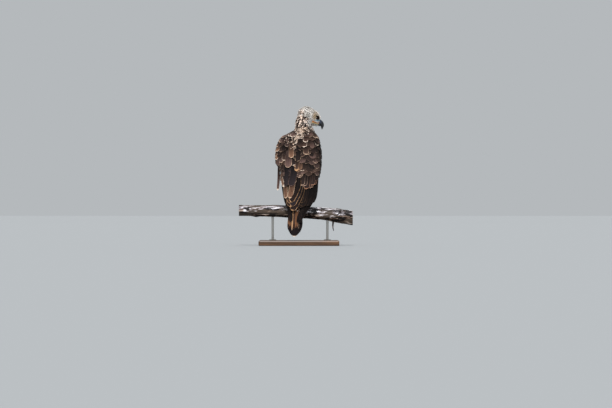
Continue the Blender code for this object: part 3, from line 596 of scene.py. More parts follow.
# Markings of the face, the same on both sides: ahead and up of the eyes, reach each way, colour, share
headMarks = (
    (-0.0170, 0.002, 0.0125, 0.0185, "faceTan", 1.00), (-0.0340, 0.0140, 0.0055, 0.0022, "neckDark", 0.80),
    (-0.0570, -0.0090, 0.0145, 0.0170, "cheekGrey", 0.95), (-0.0300, -0.0220, 0.0080, 0.0060, "mottle", 0.40),
    (-0.0560, 0.0290, 0.0045, 0.0020, "neckDark", 0.90), (-0.0630, 0.0190, 0.0045, 0.0020, "neckDark", 0.85),
    (-0.0690, 0.0090, 0.0045, 0.0020, "neckDark", 0.70),
    (-0.0730, -0.0240, 0.0030, 0.0090, "mottle", 0.85), (-0.0820, 0.0060, 0.0060, 0.0080, "neckBuff", 0.60),
    (0.0010, -0.0370, 0.0180, 0.0045, "faceTan", 0.65),
)


# Smooth noise at each point, its features 1 / scale metres across
def noiseAt(points, scale):
    return np.array([noise.noise(Vector(p)) for p in (points * np.array(scale)).tolist()])


# Blends the marks into the middles and rims of the feathers that lie at across and up
def blendMarks(marks, across, up, centre, rim, strength):
    for markAcross, markUp, reachAcross, reachUp, colour, share in marks:
        away = ((across - markAcross) / reachAcross) ** 2 + ((up - markUp) / reachUp) ** 2
        near = (share * np.exp(-(away**1.5)) * strength())[:, None]
        centre, rim = mix(centre, tint[colour], near), mix(rim, tint[colour], 0.85 * near)
    return centre, rim


def headColours(points, rng):
    ahead, up = toHead(points)[::2]
    count = len(points)
    chance = rng.random(count)
    centre = np.tile(tint["headWhite"], (count, 1))
    rim = np.tile(tint["headWhite"], (count, 1)) * 1.05
    fringe = np.full(count, 0.45)
    nape = ease(-0.055, -0.085, ahead) * ease(0.020, 0.002, up)
    blotch = noiseAt(points, 170.0)
    dark = (blotch + 0.25 * chance > mix(0.55, 0.02, nape)) & (ahead < -0.010)
    centre[dark] = mix(tint["mottle"], tint["neckDark"], 0.2 + 0.8 * nape[dark][:, None])
    rim[dark] = mix(rim[dark], tint["neckBuff"], 0.5)
    fringe[dark] = 0.42
    rim = mix(rim, tint["neckBuff"], 0.6 * nape[:, None])
    streak = (chance > 0.82) & ~dark
    centre[streak] = mix(centre[streak], tint["mottle"], 0.60)
    centre, rim = blendMarks(headMarks, ahead, up, centre, rim, lambda: rng.uniform(0.75, 1.0, count))
    return centre, rim, fringe


# Markings of the neck as seen from behind: place along X and Z, reach each way, colour, share
neckMarks = (
    (0.0361, 0.5723, 0.0060, 0.0110, "blackBrown", 1.0), (0.0505, 0.5540, 0.0075, 0.0090, "blackBrown", 1.0),
    (0.0523, 0.5810, 0.0085, 0.0130, "headWhite", 1.0), (0.0665, 0.5630, 0.0085, 0.0130, "headWhite", 1.0),
    (0.0755, 0.5440, 0.0080, 0.0120, "headWhite", 1.0), (0.0400, 0.5890, 0.0100, 0.0040, "headWhite", 0.7),
    (0.0080, 0.5760, 0.0080, 0.0060, "neckDark", 0.6),
)


def neckColours(points, rng):
    bird = toBird(points)
    count = len(points)
    facing = np.arctan2(bird[:, 0] - 0.012, -(bird[:, 1] - 0.048))
    front = ease(1.5, 2.4, np.abs(facing - 0.25))
    chance = rng.random(count)
    # Whole feathers are near black or pale, in broken streaks
    streak = noiseAt(points, (230.0, 230.0, 150.0))
    nape = ease(0.545, 0.575, points[:, 2]) * ease(0.028, 0.010, points[:, 0])
    isDark = (streak + 0.6 * (chance - 0.5) > mix(0.06, -0.08, nape))[:, None]
    centre = np.where(isDark, mix(tint["neckDark"], tint["mottle"], 0.25 * chance[:, None] ** 2),
                      mix(tint["neckBuff"], tint["russet"], 0.20 * chance[:, None]))
    rim = np.where(isDark, mix(tint["neckDark"], tint["neckBuff"], 0.16),
                   mix(tint["neckBuff"], tint["headWhite"], rng.random((count, 1))))
    pale = ((chance + 0.75 * front) > 0.95)[:, None]
    centre = mix(centre, tint["headWhite"], front[:, None] * pale)
    rim = mix(rim, tint["headWhite"], 0.8 * front[:, None])
    behind = ease(1.1, 0.2, front)
    centre, rim = blendMarks(neckMarks, points[:, 0], points[:, 2], centre, rim, lambda: behind)
    return centre, rim, rng.uniform(0.30, 0.50, count)


# The mantle between the shoulders: small dark feathers with buff rims, worn uneven
def mantleColours(points, rng):
    count = len(points)
    chance = rng.random((count, 1))
    isDark = (noiseAt(points, 150.0)[:, None] + 0.6 * (chance - 0.5)) > 0.16
    centre = np.where(isDark, mix(tint["blackBrown"], tint["midBrown"], chance),
                      mix(tint["mauveBrown"], tint["buff"], 0.6))
    rim = np.where(isDark, mix(tint["darkBrown"], tint["buff"], 0.35 * chance),
                   mix(tint["paleBuff"], tint["headWhite"], 0.5 * rng.random((count, 1))))
    low = ease(0.515, 0.470, points[:, 2])[:, None]
    return centre, mix(rim, tint["russet"], 0.25 * low), rng.uniform(0.50, 0.75, count)


def bodyColours(points, rng):
    bird = toBird(points)
    count = len(points)
    chance = rng.random(count)
    belly = ease(0.44, 0.34, bird[:, 2])
    centre = np.tile(tint["breastBrown"], (count, 1)) * rng.uniform(0.75, 1.15, (count, 1))
    rim = np.tile(tint["breastPale"], (count, 1))
    fringe = rng.uniform(0.45, 0.75, count)
    centre = mix(centre, tint["bellyWhite"], (belly * (chance > 0.14))[:, None] * 0.93)
    rim = mix(rim, tint["bellyWhite"] * 1.05, belly[:, None])
    collar = ease(0.49, 0.53, bird[:, 2])
    centre = mix(centre, tint["headWhite"], (collar * (chance > 0.35))[:, None] * 0.8)
    # The lower back between the wings is dark
    back = (ease(0.0, -0.015, bird[:, 1] - bodyMiddle(bird)) * (bird[:, 2] < 0.36))[:, None]
    return mix(centre, tint["darkBrown"], back), mix(rim, tint["edgeBrown"], back), fringe


def wingRimColours(points, rng):
    count = len(points)
    centre = mix(tint["darkBrown"], tint["midBrown"], rng.random((count, 1)))
    rim = mix(tint["edgeBrown"], tint["buff"], rng.random((count, 1)))
    return centre, rim, rng.uniform(0.25, 0.5, count)


def thighColours(points, rng):
    count = len(points)
    centre = mix(tint["bellyWhite"], tint["breastBrown"], (rng.random((count, 1)) < 0.12) * 0.5)
    rim = np.tile(tint["bellyWhite"], (count, 1)) * 1.05
    return centre, rim, np.full(count, 0.4)


# Which way the coat lies
def coatFlow(points, normals, labels):
    ahead = toHead(points)[0]
    down = toWorld(np.array([0.0, -0.30, -0.954])) - toWorld(np.zeros(3))
    flow = np.tile(down, (len(points), 1))
    onHeadShare = ease(-0.085, -0.040, ahead) * ((labels == "head") | (labels == "neck"))
    backwards = -headAhead + 0.25 * np.array([0.0, 0.0, -1.0])
    nape = np.array([-0.30, -0.15, -0.94])
    neckWay = np.where((labels == "neck")[:, None], np.array([[-0.05, 0.0, -1.0]]), nape[None])
    isHead = np.isin(labels, ("head", "neck"))[:, None]
    flow = np.where(isHead, mix(neckWay, backwards[None], onHeadShare[:, None]), flow)
    thigh = np.char.startswith(labels.astype(str), "thigh")[:, None]
    flow = np.where(thigh, np.array([[0.0, -0.05, -1.0]]), flow)
    flow = flow - normals * np.sum(flow * normals, axis=1, keepdims=True)
    return unit(flow)


triesPerRoom = 4.5     # places tried at random for each one that is kept


# Picks well-spaced roots on the skin's triangles; spacing(points) is the room each one takes
def scatterRoots(faceMask, spacing, seed):
    rng = np.random.default_rng(seed)
    faces = skinFaces[faceMask]
    a, b, c = (skinPoints[faces[:, i]] for i in range(3))
    areas = np.linalg.norm(np.cross(b - a, c - a), axis=1) / 2
    room = spacing((a + b + c) / 3)
    counts = rng.poisson(areas / room**2 * triesPerRoom)
    index = np.repeat(np.arange(len(faces)), counts)
    rng.shuffle(index)
    first, second = rng.random(len(index)), rng.random(len(index))
    flip = first + second > 1
    first[flip], second[flip] = 1 - first[flip], 1 - second[flip]
    points = a[index] + (b - a)[index] * first[:, None] + (c - a)[index] * second[:, None]
    rooms = spacing(points)
    cell = rooms.max()
    keys = np.floor(points / cell).astype(int).tolist()
    spots, limits = points.tolist(), (rooms**2).tolist()
    grid, kept = {}, []
    around = [(x, y, z) for x in (-1, 0, 1) for y in (-1, 0, 1) for z in (-1, 0, 1)]
    for i, (kx, ky, kz) in enumerate(keys):
        px, py, pz = spots[i]
        near = (spot for x, y, z in around for spot in grid.get((kx + x, ky + y, kz + z), ()))
        if not any((px - qx) ** 2 + (py - qy) ** 2 + (pz - qz) ** 2 < limits[i] for qx, qy, qz in near):
            grid.setdefault((kx, ky, kz), []).append((px, py, pz))
            kept.append(i)
    weights = np.stack([1 - first - second, first, second], axis=1)[kept]
    corners = skinNormals[faces[index[kept]]]
    normals = unit((corners * weights[..., None]).sum(axis=1))
    labels = skinLabels[faces[index[kept], 0]]
    return points[kept], normals, labels


# Lines of small feathers that leave the skin at their roots and follow its form to their tips
def coatLines(shape, roots, normals, flow, length, rootDepth, tipLift, stray, seed):
    rng = np.random.default_rng(seed)
    side = np.cross(flow, normals)
    swing = rng.normal(0.0, stray, len(roots))[:, None]
    flow = unit(flow * np.cos(swing) + side * np.sin(swing))
    ends = roots + flow * length[:, None]
    found = [skinTree.find_nearest(Vector(p)) for p in ends]
    near = np.array([hit[0][:] for hit in found])
    tipNormal = np.array([hit[1][:] for hit in found])
    away = near - roots
    drop = np.clip(np.sum(away * normals, axis=1), -0.55 * length, 0.35 * length)
    t = shape["stations"]
    tipRise = tipLift[:, None] * rng.uniform(0.75, 1.25, (len(roots), 1))
    lift = mix(-rootDepth[:, None], tipRise, t[None] ** 0.85)
    rise = drop[:, None] * t[None] ** 2 + lift
    middle = roots[:, None] + flow[:, None] * (length[:, None] * t[None])[..., None]
    middle = middle + normals[:, None] * rise[..., None]
    out = unit(mix(normals[:, None], tipNormal[:, None], t[None, :, None] * 0.9))
    along = unit(np.gradient(middle, axis=1))
    out = unit(out - along * np.sum(out * along, axis=2, keepdims=True))
    return {"middle": middle, "out": out, "across": np.cross(along, out)}


def headRoom(points, base):
    ahead = toHead(points)[0]
    return base * mix(0.62, 1.25, ease(0.010, -0.085, ahead))


# Bare skin: its reach round the eye, behind, under and over the mouth and at the lore, and the chin's coat
bareSettings = {
    "eye": 0.0104, "lipBack": -0.027, "lipLow": 0.0044, "lipHigh": 0.0090, "loreBack": -0.008,
    "loreHigh": 0.0020, "side": 0.004, "chinFront": 0.021, "chinDrop": 0.0040,
}


# The bare skin round the eye, along the mouth and under the bill's edge carries no feathers
def bareFace(points):
    plan = bareSettings
    ahead, right, up = toHead(points)
    eye = np.hypot(ahead + headFrame["eyesBack"], up) < plan["eye"]
    mouth = mouthHeight(ahead)
    lips = (ahead > plan["lipBack"]) & (up > mouth - plan["lipLow"]) & (up < mouth + plan["lipHigh"])
    lore = (ahead > plan["loreBack"]) & (up > mouth) & (up < loreHeight(ahead) + plan["loreHigh"])
    return (eye | lips | lore) & (np.abs(right) > plan["side"])


# The thin bluish line of bare skin over the mouth
def loreHeight(ahead):
    return -0.0152 + 0.31 * (ahead + 0.010)


def onChin(points):
    ahead, up = toHead(points)[::2]
    return (ahead < bareSettings["chinFront"]) & (up < mouthHeight(ahead) - bareSettings["chinDrop"])


mouthLine = {"corner": (-0.021, -0.0290), "bill": (0.030, -0.0172), "sag": 0.0012}


def mouthHeight(ahead):
    corner, bill = mouthLine["corner"], mouthLine["bill"]
    t = np.clip((ahead - corner[0]) / (bill[0] - corner[0]), 0.0, 1.0)
    return mix(corner[1], bill[1], t) - mouthLine["sag"] * np.sin(math.pi * t)


# How far round the body the closed wings reach, in degrees from the middle of the back, by height
wingEdges = (
    (0.262, 92.0), (0.310, 100.0), (0.370, 110.0), (0.410, 120.0), (0.450, 126.0), (0.500, 124.0),
    (0.530, 119.0), (0.556, 112.0),
)


# The coat stops this many degrees inside the wings' edges, between these heights
hidden = {"inset": 26, "low": 0.285, "high": 0.545}


# Where the closed wings hide the body
def underWing(points):
    bird = toBird(points)
    degrees = np.degrees(np.arctan2(np.abs(bird[:, 0]), -(bird[:, 1] - bodyMiddle(bird))))
    far = np.interp(bird[:, 2], *zip(*wingEdges))
    return (degrees < far - hidden["inset"]) & (bird[:, 2] > hidden["low"]) & (bird[:, 2] < hidden["high"])


# The mantle's edge as seen from behind, X and Z
mantleEdge = ((-0.022, 0.562), (0.052, 0.560), (0.034, 0.528), (0.006, 0.499), (-0.022, 0.452),
              (-0.044, 0.464), (-0.058, 0.500), (-0.068, 0.527), (-0.046, 0.546))


def onMantle(points, normals):
    inside = np.zeros(len(points), bool)
    x, z = points[:, 0], points[:, 2]
    for (ax, az), (bx, bz) in zip(mantleEdge, mantleEdge[1:] + mantleEdge[:1]):
        inside ^= ((az > z) != (bz > z)) & (x < ax + (bx - ax) * (z - az) / (bz - az + 1e-12))
    return inside & (normals[:, 1] < 0.0)


# Degrees from the middle of the back, and height, from which the rim is seen
rimSettings = {"from": 108, "low": 0.392}


# The front rim of the wing, past the last row of its coverts
def onWingRim(points, normals):
    bird = toBird(points)
    middle = np.interp(bird[:, 2], [row[0] for row in wingRight], [row[1] for row in wingRight])
    degrees = np.degrees(np.arctan2(np.abs(bird[:, 0]), -(bird[:, 1] - middle)))
    return (degrees > rimSettings["from"]) & (bird[:, 2] > rimSettings["low"])


coats = {
    "coatHead": {"labels": ("head", "bill_lower", "bill_upper"), "room": 0.0027, "length": 0.0086,
                 "half": 0.0023, "depth": 0.0006, "lift": 0.0046, "stray": 0.16, "rows": 3, "columns": 2,
                 "colours": headColours, "slot": "head_pale"},
    "coatNeck": {"labels": ("neck",), "room": 0.0052, "length": 0.0165, "half": 0.0040, "depth": 0.0010,
                 "lift": 0.0062, "stray": 0.34, "rows": 4, "columns": 2, "colours": neckColours,
                 "slot": "head_pale"},
    "coatBody": {"labels": ("torso", "tail"), "room": 0.0062, "length": 0.0270, "half": 0.0060,
                 "depth": 0.0015, "lift": 0.0040, "stray": 0.12, "rows": 4, "columns": 4,
                 "colours": bodyColours, "slot": "plumage_brown"},
    "coatThighs": {"labels": ("thigh_left", "thigh_right"), "room": 0.0050, "length": 0.0230, "half": 0.0046,
                   "depth": 0.0012, "lift": 0.0036, "stray": 0.12, "rows": 4, "columns": 2,
                   "colours": thighColours, "slot": "plumage_brown"},
    "coatWingRims": {"labels": ("wing_left", "wing_right"), "room": 0.0062, "length": 0.0170, "half": 0.0056,
                     "depth": 0.0010, "lift": 0.0014, "stray": 0.10, "rows": 4, "columns": 2,
                     "colours": wingRimColours, "slot": "plumage_brown", "only": onWingRim},
    "coatMantle": {"labels": ("wing_left", "wing_right", "torso", "neck"), "room": 0.0050, "length": 0.0165,
                   "half": 0.0042, "depth": -0.0048, "lift": 0.0094, "stray": 0.30, "rows": 4, "columns": 4,
                   "colours": mantleColours, "slot": "plumage_brown", "only": onMantle},
}
vaneLook = {"blunt": 0.55, "ragged": 0.05, "roundTip": 0.35, "bend": 9.0, "roll": 0.0, "thick": 0.00035}


def buildCoat(name, plan, material, seed):
    rng = np.random.default_rng(seed)
    faceLabels = skinLabels[skinFaces[:, 0]]
    isHead = name == "coatHead"

    def spacing(points):
        return headRoom(points, plan["room"]) if isHead else np.full(len(points), plan["room"])

    roots, normals, labels = scatterRoots(np.isin(faceLabels, plan["labels"]), spacing, seed)
    keep = ~bareFace(roots)
    if name == "coatBody":
        keep &= ~underWing(roots)
    if isHead:
        keep &= (labels == "head") | onChin(roots)
    if "only" in plan:
        keep &= plan["only"](roots, normals)
    roots, normals, labels = roots[keep], normals[keep], labels[keep]
    size = spacing(roots) / plan["room"] * rng.uniform(0.85, 1.15, len(roots))
    shape = vaneShape(plan["rows"], plan["columns"])
    flow = coatFlow(roots, normals, labels)
    lift = size * plan["lift"]
    if isHead:
        # The brow and forehead are fuller
        ahead, up = toHead(roots)[::2]
        lift = lift * (1 + 0.95 * ease(-0.022, 0.002, ahead) * ease(-0.004, 0.006, up))
    lines = coatLines(shape, roots, normals, flow, size * plan["length"], size * plan["depth"],
                      lift, plan["stray"], seed)
    centre, rim, fringe = plan["colours"](roots, rng)
    tints = {"centreTint": withAlpha(centre, 0.45), "edgeTint": withAlpha(rim, fringe)}
    mesh = joinVanes(name, shape, lines, size * plan["half"], vaneLook, tints, bodyCells(roots), seed)
    finishPiece(mesh, material, sharpAngle=55)
    print(name + ":", len(roots), "feathers,", len(mesh.polygons) * 2, "triangles")


# Bare skin shows round the eye and mouth; elsewhere it is the colour of the coat over it
def skinMaterial():
    material, add, place = newMaterial("featheredSkin")
    colour = add("Attribute", {"attribute_name": "skinTint"})
    grain = add("TexNoise", {"Scale": 420.0, "Detail": 4.0, "Vector": place})
    pores = add("TexVoronoi", {"Scale": 900.0, "Vector": place})
    tone = add("Math", {"operation": "MULTIPLY_ADD", 0: grain, 1: 0.7, 2: 0.62})
    shaded = add("VectorMath", {"operation": "SCALE", 0: colour, 3: tone})
    bump = add("Bump", {"Strength": 0.5, "Distance": 0.0005, "Height": pores})
    return dressShader(material, {
        "Base Color": shaded, "Normal": bump, "Roughness": 0.75, "Specular IOR Level": 0.25,
        "Subsurface Weight": 0.06, "Subsurface Scale": 0.004,
    })


def colourSkin():
    rng = np.random.default_rng(5)
    makers = {"head": headColours, "neck": neckColours, "torso": bodyColours, "tail": bodyColours,
              "thigh_left": thighColours, "thigh_right": thighColours, "wing_left": wingRimColours,
              "wing_right": wingRimColours}
    colours = np.tile(tint["headWhite"], (len(skinPoints), 1))
    for label, maker in makers.items():
        chosen = skinLabels == label
        centre, rim = maker(skinPoints[chosen], rng)[:2]
        colours[chosen] = mix(centre, rim, 0.45)
    pairs = np.array([e.vertices[:] for e in skinMesh.edges])
    colours = np.stack([spread(colours[:, i], pairs, 3) for i in range(3)], axis=1) * 0.8
    ahead, up = toHead(skinPoints)[::2]
    face = np.isin(skinLabels, ("head", "bill_upper", "bill_lower", "eye_left", "eye_right"))
    lore = ease(-0.014, -0.008, ahead) * np.exp(-(((up - loreHeight(ahead)) / 0.0034) ** 4))
    colours = mix(colours, tint["loreBlue"], (lore * face)[:, None])
    layer = skinMesh.attributes.new("skinTint", "FLOAT_COLOR", "POINT")
    layer.data.foreach_set("color", withAlpha(colours, 1.0).astype(np.float32).ravel())


headFeatherMaterial = featherMaterial("softHeadFeathers", {
    "roughness": 0.78, "sheen": 0.02, "covered": 0.35, "paintedRootShade": 0.72, "tipReach": 2.6,
    "wearScale": 300.0, "shaft": 0.22, "barbs": 7.0, "bump": 0.35, "shaftColour": "5b4a40",
})
bodyFeatherMaterial = featherMaterial("looseBodyFeathers", {
    "roughness": 0.74, "sheen": 0.03, "covered": 0.35, "paintedRootShade": 0.50, "tipReach": 3.0,
    "wearScale": 170.0, "shaft": 0.35, "barbs": 12.0, "bump": 0.4, "shaftColour": "4a3a30",
})
colourSkin()
finishPiece(skinMesh, skinMaterial(), fleshNodes)
for number, (coatName, coatPlan) in enumerate(coats.items()):
    onPale = coatPlan["slot"] == "head_pale"
    buildCoat(coatName, coatPlan, headFeatherMaterial if onPale else bodyFeatherMaterial, 40 + number)


sides = {"Right": 1, "Left": -1}

# Wings

def wingSurface(side, z, degrees):
    middle, width, back, front = readTable(wingRight if side > 0 else wingLeft, z)
    angle = math.radians(degrees)
    depth = back if math.cos(angle) > 0 else front
    return np.array([side * width * math.sin(angle), middle - depth * math.cos(angle), z])


def wingNormal(side, z, degrees):
    down = wingSurface(side, z - 0.006, degrees) - wingSurface(side, z + 0.006, degrees)
    across = wingSurface(side, z, degrees + 3) - wingSurface(side, z, degrees - 3)
    return unit(np.cross(down, across) * side)


# Tiers from the shoulder down. Each: rows, feathers in a row, root height and angle of the first and
# last feather of the first row, the same for the tips, half widths, depths at root and tip. Where there
# are more rows: drop of a row, and the angle of the first feather in the first row and in the later ones
wingTiers = (
    {"name": "lesser", "rows": 5, "count": 9, "root": (0.556, 30, 0.553, 110), "drop": 0.0225,
     "tip": (0.517, 24, 0.514, 108), "open": (30, 3), "half": (0.0128, 0.0108), "depths": (0.0085, 0.0004)},
    {"name": "scapular", "rows": 3, "count": 8, "root": (0.470, 5, 0.466, 114), "drop": 0.026,
     "tip": (0.412, 4, 0.410, 108), "open": (5, 3), "half": (0.0176, 0.0140), "depths": (0.0090, 0.0006)},
    {"name": "median", "rows": 2, "count": 9, "root": (0.412, 5, 0.406, 108), "drop": 0.020,
     "tip": (0.346, 5, 0.360, 98), "open": (5, 4), "half": (0.0165, 0.0130), "depths": (0.0095, 0.0006)},
    {"name": "greater", "rows": 1, "count": 12, "root": (0.388, 10, 0.380, 100),
     "tip": (0.286, 9, 0.316, 90), "tipRight": (0.318, 9, 0.354, 92), "sag": 0.060,
     "half": (0.0160, 0.0125), "depths": (0.0105, 0.0013)},
    {"name": "tertial", "rows": 1, "count": 5, "root": (0.356, 6, 0.350, 36),
     "tip": (0.226, 5, 0.188, 29), "half": (0.0190, 0.0180), "depths": (0.0110, 0.0022)},
    {"name": "secondary", "rows": 1, "count": 10, "root": (0.334, 26, 0.372, 95),
     "tip": (0.186, 23, 0.206, 88), "half": (0.0145, 0.0130), "depths": (0.0120, 0.0036)},
    {"name": "primary", "rows": 1, "count": 6, "root": (0.305, 50, 0.295, 84),
     "tip": (0.108, 38, 0.160, 78), "half": (0.0125, 0.0110), "depths": (0.0140, 0.0072)},
)


# Colours of a wing feather by its tier and side, before the patches below
def wingTint(name, side, share, rng):
    dark = mix(tint["blackBrown"], tint["midBrown"], rng.random() ** 1.2)
    rim, fringe = mix(tint["edgeBrown"], tint["buff"], 0.55 * rng.random() ** 2), rng.uniform(0.18, 0.34)
    if name in ("lesser", "scapular", "median"):
        if rng.random() < 0.10:
            rim, fringe = mix(tint["buff"], tint["paleBuff"], rng.random()), rng.uniform(0.30, 0.45)
        if rng.random() < 0.14:
            dark = mix(dark, tint["mauveBrown"], 0.8)
    if name == "greater":
        rim, fringe = mix(tint["mauveBrown"], tint["buff"], 0.7 * rng.random()), 0.30
        dark = mix(tint["blackBrown"], tint["mauveBrown"], 0.05 + 0.40 * rng.random() ** 1.5)
    if name == "tertial":
        dark = mix(tint["darkBrown"], tint["midBrown"], rng.random())
        rim, fringe = mix(tint["edgeBrown"], tint["ochre"], 0.4 + 0.5 * rng.random()), 0.22
        if side > 0:
            dark, rim = mix(dark, tint["blackBrown"], 0.9), mix(rim, tint["blackBrown"], 0.7 + 0.25 * share)
    if name in ("secondary", "primary"):
        dark = mix(tint["blackBrown"], tint["darkBrown"], 0.25 * rng.random())
        rim, fringe = mix(tint["blackBrown"], tint["edgeBrown"], 0.35), 0.14
    return dark, rim, fringe


# Patches that the feathers of the back take on where their tips lie, X and Z as seen from behind:
# place, reach each way, middle, rim, width of the rim, share
wingPatches = (
    (0.0060, 0.3110, 0.0150, 0.0260, "mauveBrown", "buff", 0.30, 0.50),
    (0.0380, 0.4867, 0.0427, 0.0427, "midBrown", "edgeBrown", 0.30, 0.60),
    (0.0404, 0.3870, 0.0261, 0.0285, "darkBrown", "edgeBrown", 0.20, 0.85),
    (0.0594, 0.4369, 0.0166, 0.0190, "darkBrown", "edgeBrown", 0.20, 0.85),
    (0.1092, 0.4440, 0.0166, 0.1235, "blackBrown", "blackBrown", 0.12, 0.95),
    (0.0997, 0.3015, 0.0238, 0.0570, "blackBrown", "blackBrown", 0.12, 0.90),
    (-0.0333, 0.5190, 0.0230, 0.0130, "mauveBrown", "paleBuff", 0.52, 0.85),
    (-0.0855, 0.5152, 0.0142, 0.0123, "mauveBrown", "buff", 0.55, 0.90),
    (-0.0974, 0.4939, 0.0114, 0.0152, "mauveBrown", "buff", 0.55, 0.90),
    (-0.1092, 0.4487, 0.0105, 0.0238, "russet", "paleBuff", 0.60, 0.85),
    (-0.1092, 0.4012, 0.0105, 0.0142, "russet", "paleBuff", 0.60, 0.85),
    (-0.0712, 0.5010, 0.0171, 0.0152, "mauveBrown", "mauveBrown", 0.35, 0.85),
    (-0.0736, 0.4654, 0.0218, 0.0190, "darkBrown", "edgeBrown", 0.28, 0.90),
    (-0.0736, 0.4226, 0.0209, 0.0190, "darkBrown", "edgeBrown", 0.22, 0.85),
    (-0.0817, 0.3917, 0.0133, 0.0114, "mauveBrown", "buff", 0.50, 0.85),
    (-0.0333, 0.4321, 0.0142, 0.0161, "warmBrown", "buff", 0.42, 0.90),
    (-0.0024, 0.4155, 0.0142, 0.0190, "darkBrown", "buff", 0.16, 0.85),
    (-0.0095, 0.3680, 0.0123, 0.0214, "warmBrown", "ochre", 0.55, 0.85),
    (0.0333, 0.4891, 0.0105, 0.0105, "midBrown", "paleBuff", 0.55, 0.90),
    (0.0261, 0.4677, 0.0095, 0.0105, "midBrown", "paleBuff", 0.55, 0.90),
    (0.0166, 0.4392, 0.0095, 0.0086, "midBrown", "buff", 0.50, 0.85),
    (0.0380, 0.4321, 0.0095, 0.0105, "midBrown", "buff", 0.50, 0.85),
    (0.0760, 0.3822, 0.0114, 0.0261, "mauveBrown", "buff", 0.40, 0.75),
    (0.0333, 0.2635, 0.0238, 0.0114, "darkBrown", "russet", 0.26, 0.90),
    (0.0689, 0.2920, 0.0152, 0.0161, "darkBrown", "russet", 0.24, 0.80),
    (-0.0380, 0.3443, 0.0285, 0.0380, "slateBrown", "edgeBrown", 0.20, 0.80),
)


def patchTint(tip, colours):
    dark, rim, fringe = colours
    for x, z, reachX, reachZ, middle, edge, width, share in wingPatches:
        away = ((tip[0] - x) / reachX) ** 2 + ((tip[2] - z) / reachZ) ** 2
        near = share * math.exp(-(away**2))
        dark, rim = mix(dark, tint[middle], near), mix(rim, tint[edge], near)
        fringe = mix(fringe, width, near)
    return dark, rim, fringe


# Feathers that stand out one by one on this bird, by wing: X and Z of root and tip as seen from behind,
# half width, bend to the right, depths at root and tip, middle, rim, width of the rim, how dull its sides are
heroFeathers = {
    # Three long arcs, a tan tip and a round dark feather
    1: (
        (0.007, 0.315, -0.033, 0.166, 0.0185, 0.015, 0.005, -0.001, "darkBrown", "ochre", 0.15, 0.0),
        (0.003, 0.325, -0.036, 0.186, 0.0170, 0.013, 0.0048, -0.0018, "slateBrown", "ochre", 0.15, 0.0),
        (-0.003, 0.335, -0.039, 0.206, 0.0155, 0.011, 0.0046, -0.0026, "darkBrown", "ochre", 0.17, 0.0),
        (-0.0071, 0.425, -0.0114, 0.3514, 0.0105, 0.0, 0.005, -0.002, "midBrown", "ochre", 0.70, 0.8),
        (-0.0047, 0.4772, -0.0047, 0.3974, 0.015, 0.0, 0.005, -0.0028, "darkBrown", "buff", 0.14, 0.8),
    ),
    # A crescent, a pale pair, a grey pair, a round mauve feather and a warm one over it
    -1: (
        (-0.0684, 0.406, -0.0694, 0.2777, 0.008, -0.0125, 0.004, -0.0004, "warmBrown", "paleBuff", 0.4, 0.0),
        (-0.0689, 0.3395, -0.0599, 0.2231, 0.0115, -0.001, 0.005, -0.0024, "warmBrown", "buff", 0.3, 0.0),
        (-0.0285, 0.349, -0.0418, 0.2231, 0.014, 0.003, 0.005, -0.0028, "warmBrown", "buff", 0.28, 0.0),
        (-0.0594, 0.425, -0.0589, 0.2777, 0.0125, 0.002, 0.005, -0.0032, "slateBrown", "edgeBrown",
         0.16, 0.5),
        (-0.019, 0.4155, -0.038, 0.2801, 0.0175, 0.005, 0.005, -0.0036, "slateBrown", "mauveBrown",
         0.18, 0.5),
        (-0.0522, 0.4535, -0.0475, 0.368, 0.018, 0.0, 0.005, -0.004, "mauveBrown", "buff", 0.24, 0.7),
        (-0.038, 0.4915, -0.0351, 0.4131, 0.0125, 0.0, 0.005, -0.0044, "warmBrown", "buff", 0.30, 0.6),
    ),
}
looseStrip = {
    "root": (-0.0975, 0.0100, 0.392), "tip": (-0.1015, 0.0160, 0.262), "half": 0.0060, "sway": 0.003,
    "colours": (tint["mauveBrown"], tint["paleBuff"], 0.26), "dull": 0.6,
}


# Degrees round the wing of a place seen from behind at X and height z
def wingDegrees(side, x, z):
    near, far = -20.0, 88.0
    for _ in range(30):
        middle = (near + far) / 2
        if (toWorld(wingSurface(side, z, middle))[0] - x) * side < 0:
            near = middle
        else:
            far = middle
    return (near + far) / 2


# Middle, out and across of a feather at each station, with out squared to the way it runs
def squareLine(middle, out):
    along = unit(np.gradient(middle, axis=0))
    out = unit(out - along * np.sum(out * along, axis=1, keepdims=True))
    return middle, out, np.cross(along, out)


# A wing feather through three places (height, degrees): root, middle and tip
def wingLine(side, stations, places, depths):
    first, between, last = (np.array(place) for place in places)
    middle, out = [], []
    for t in stations:
        z, degrees = first * (1 - t) * (1 - 2 * t) + between * 4 * t * (1 - t) + last * t * (2 * t - 1)
        normal = wingNormal(side, z, degrees)
        middle.append(wingSurface(side, z, degrees) - normal * mix(depths[0], depths[1], t**0.8))
        out.append(normal)
    return squareLine(toWorld(middle), np.array(out) @ birdTurn.T)


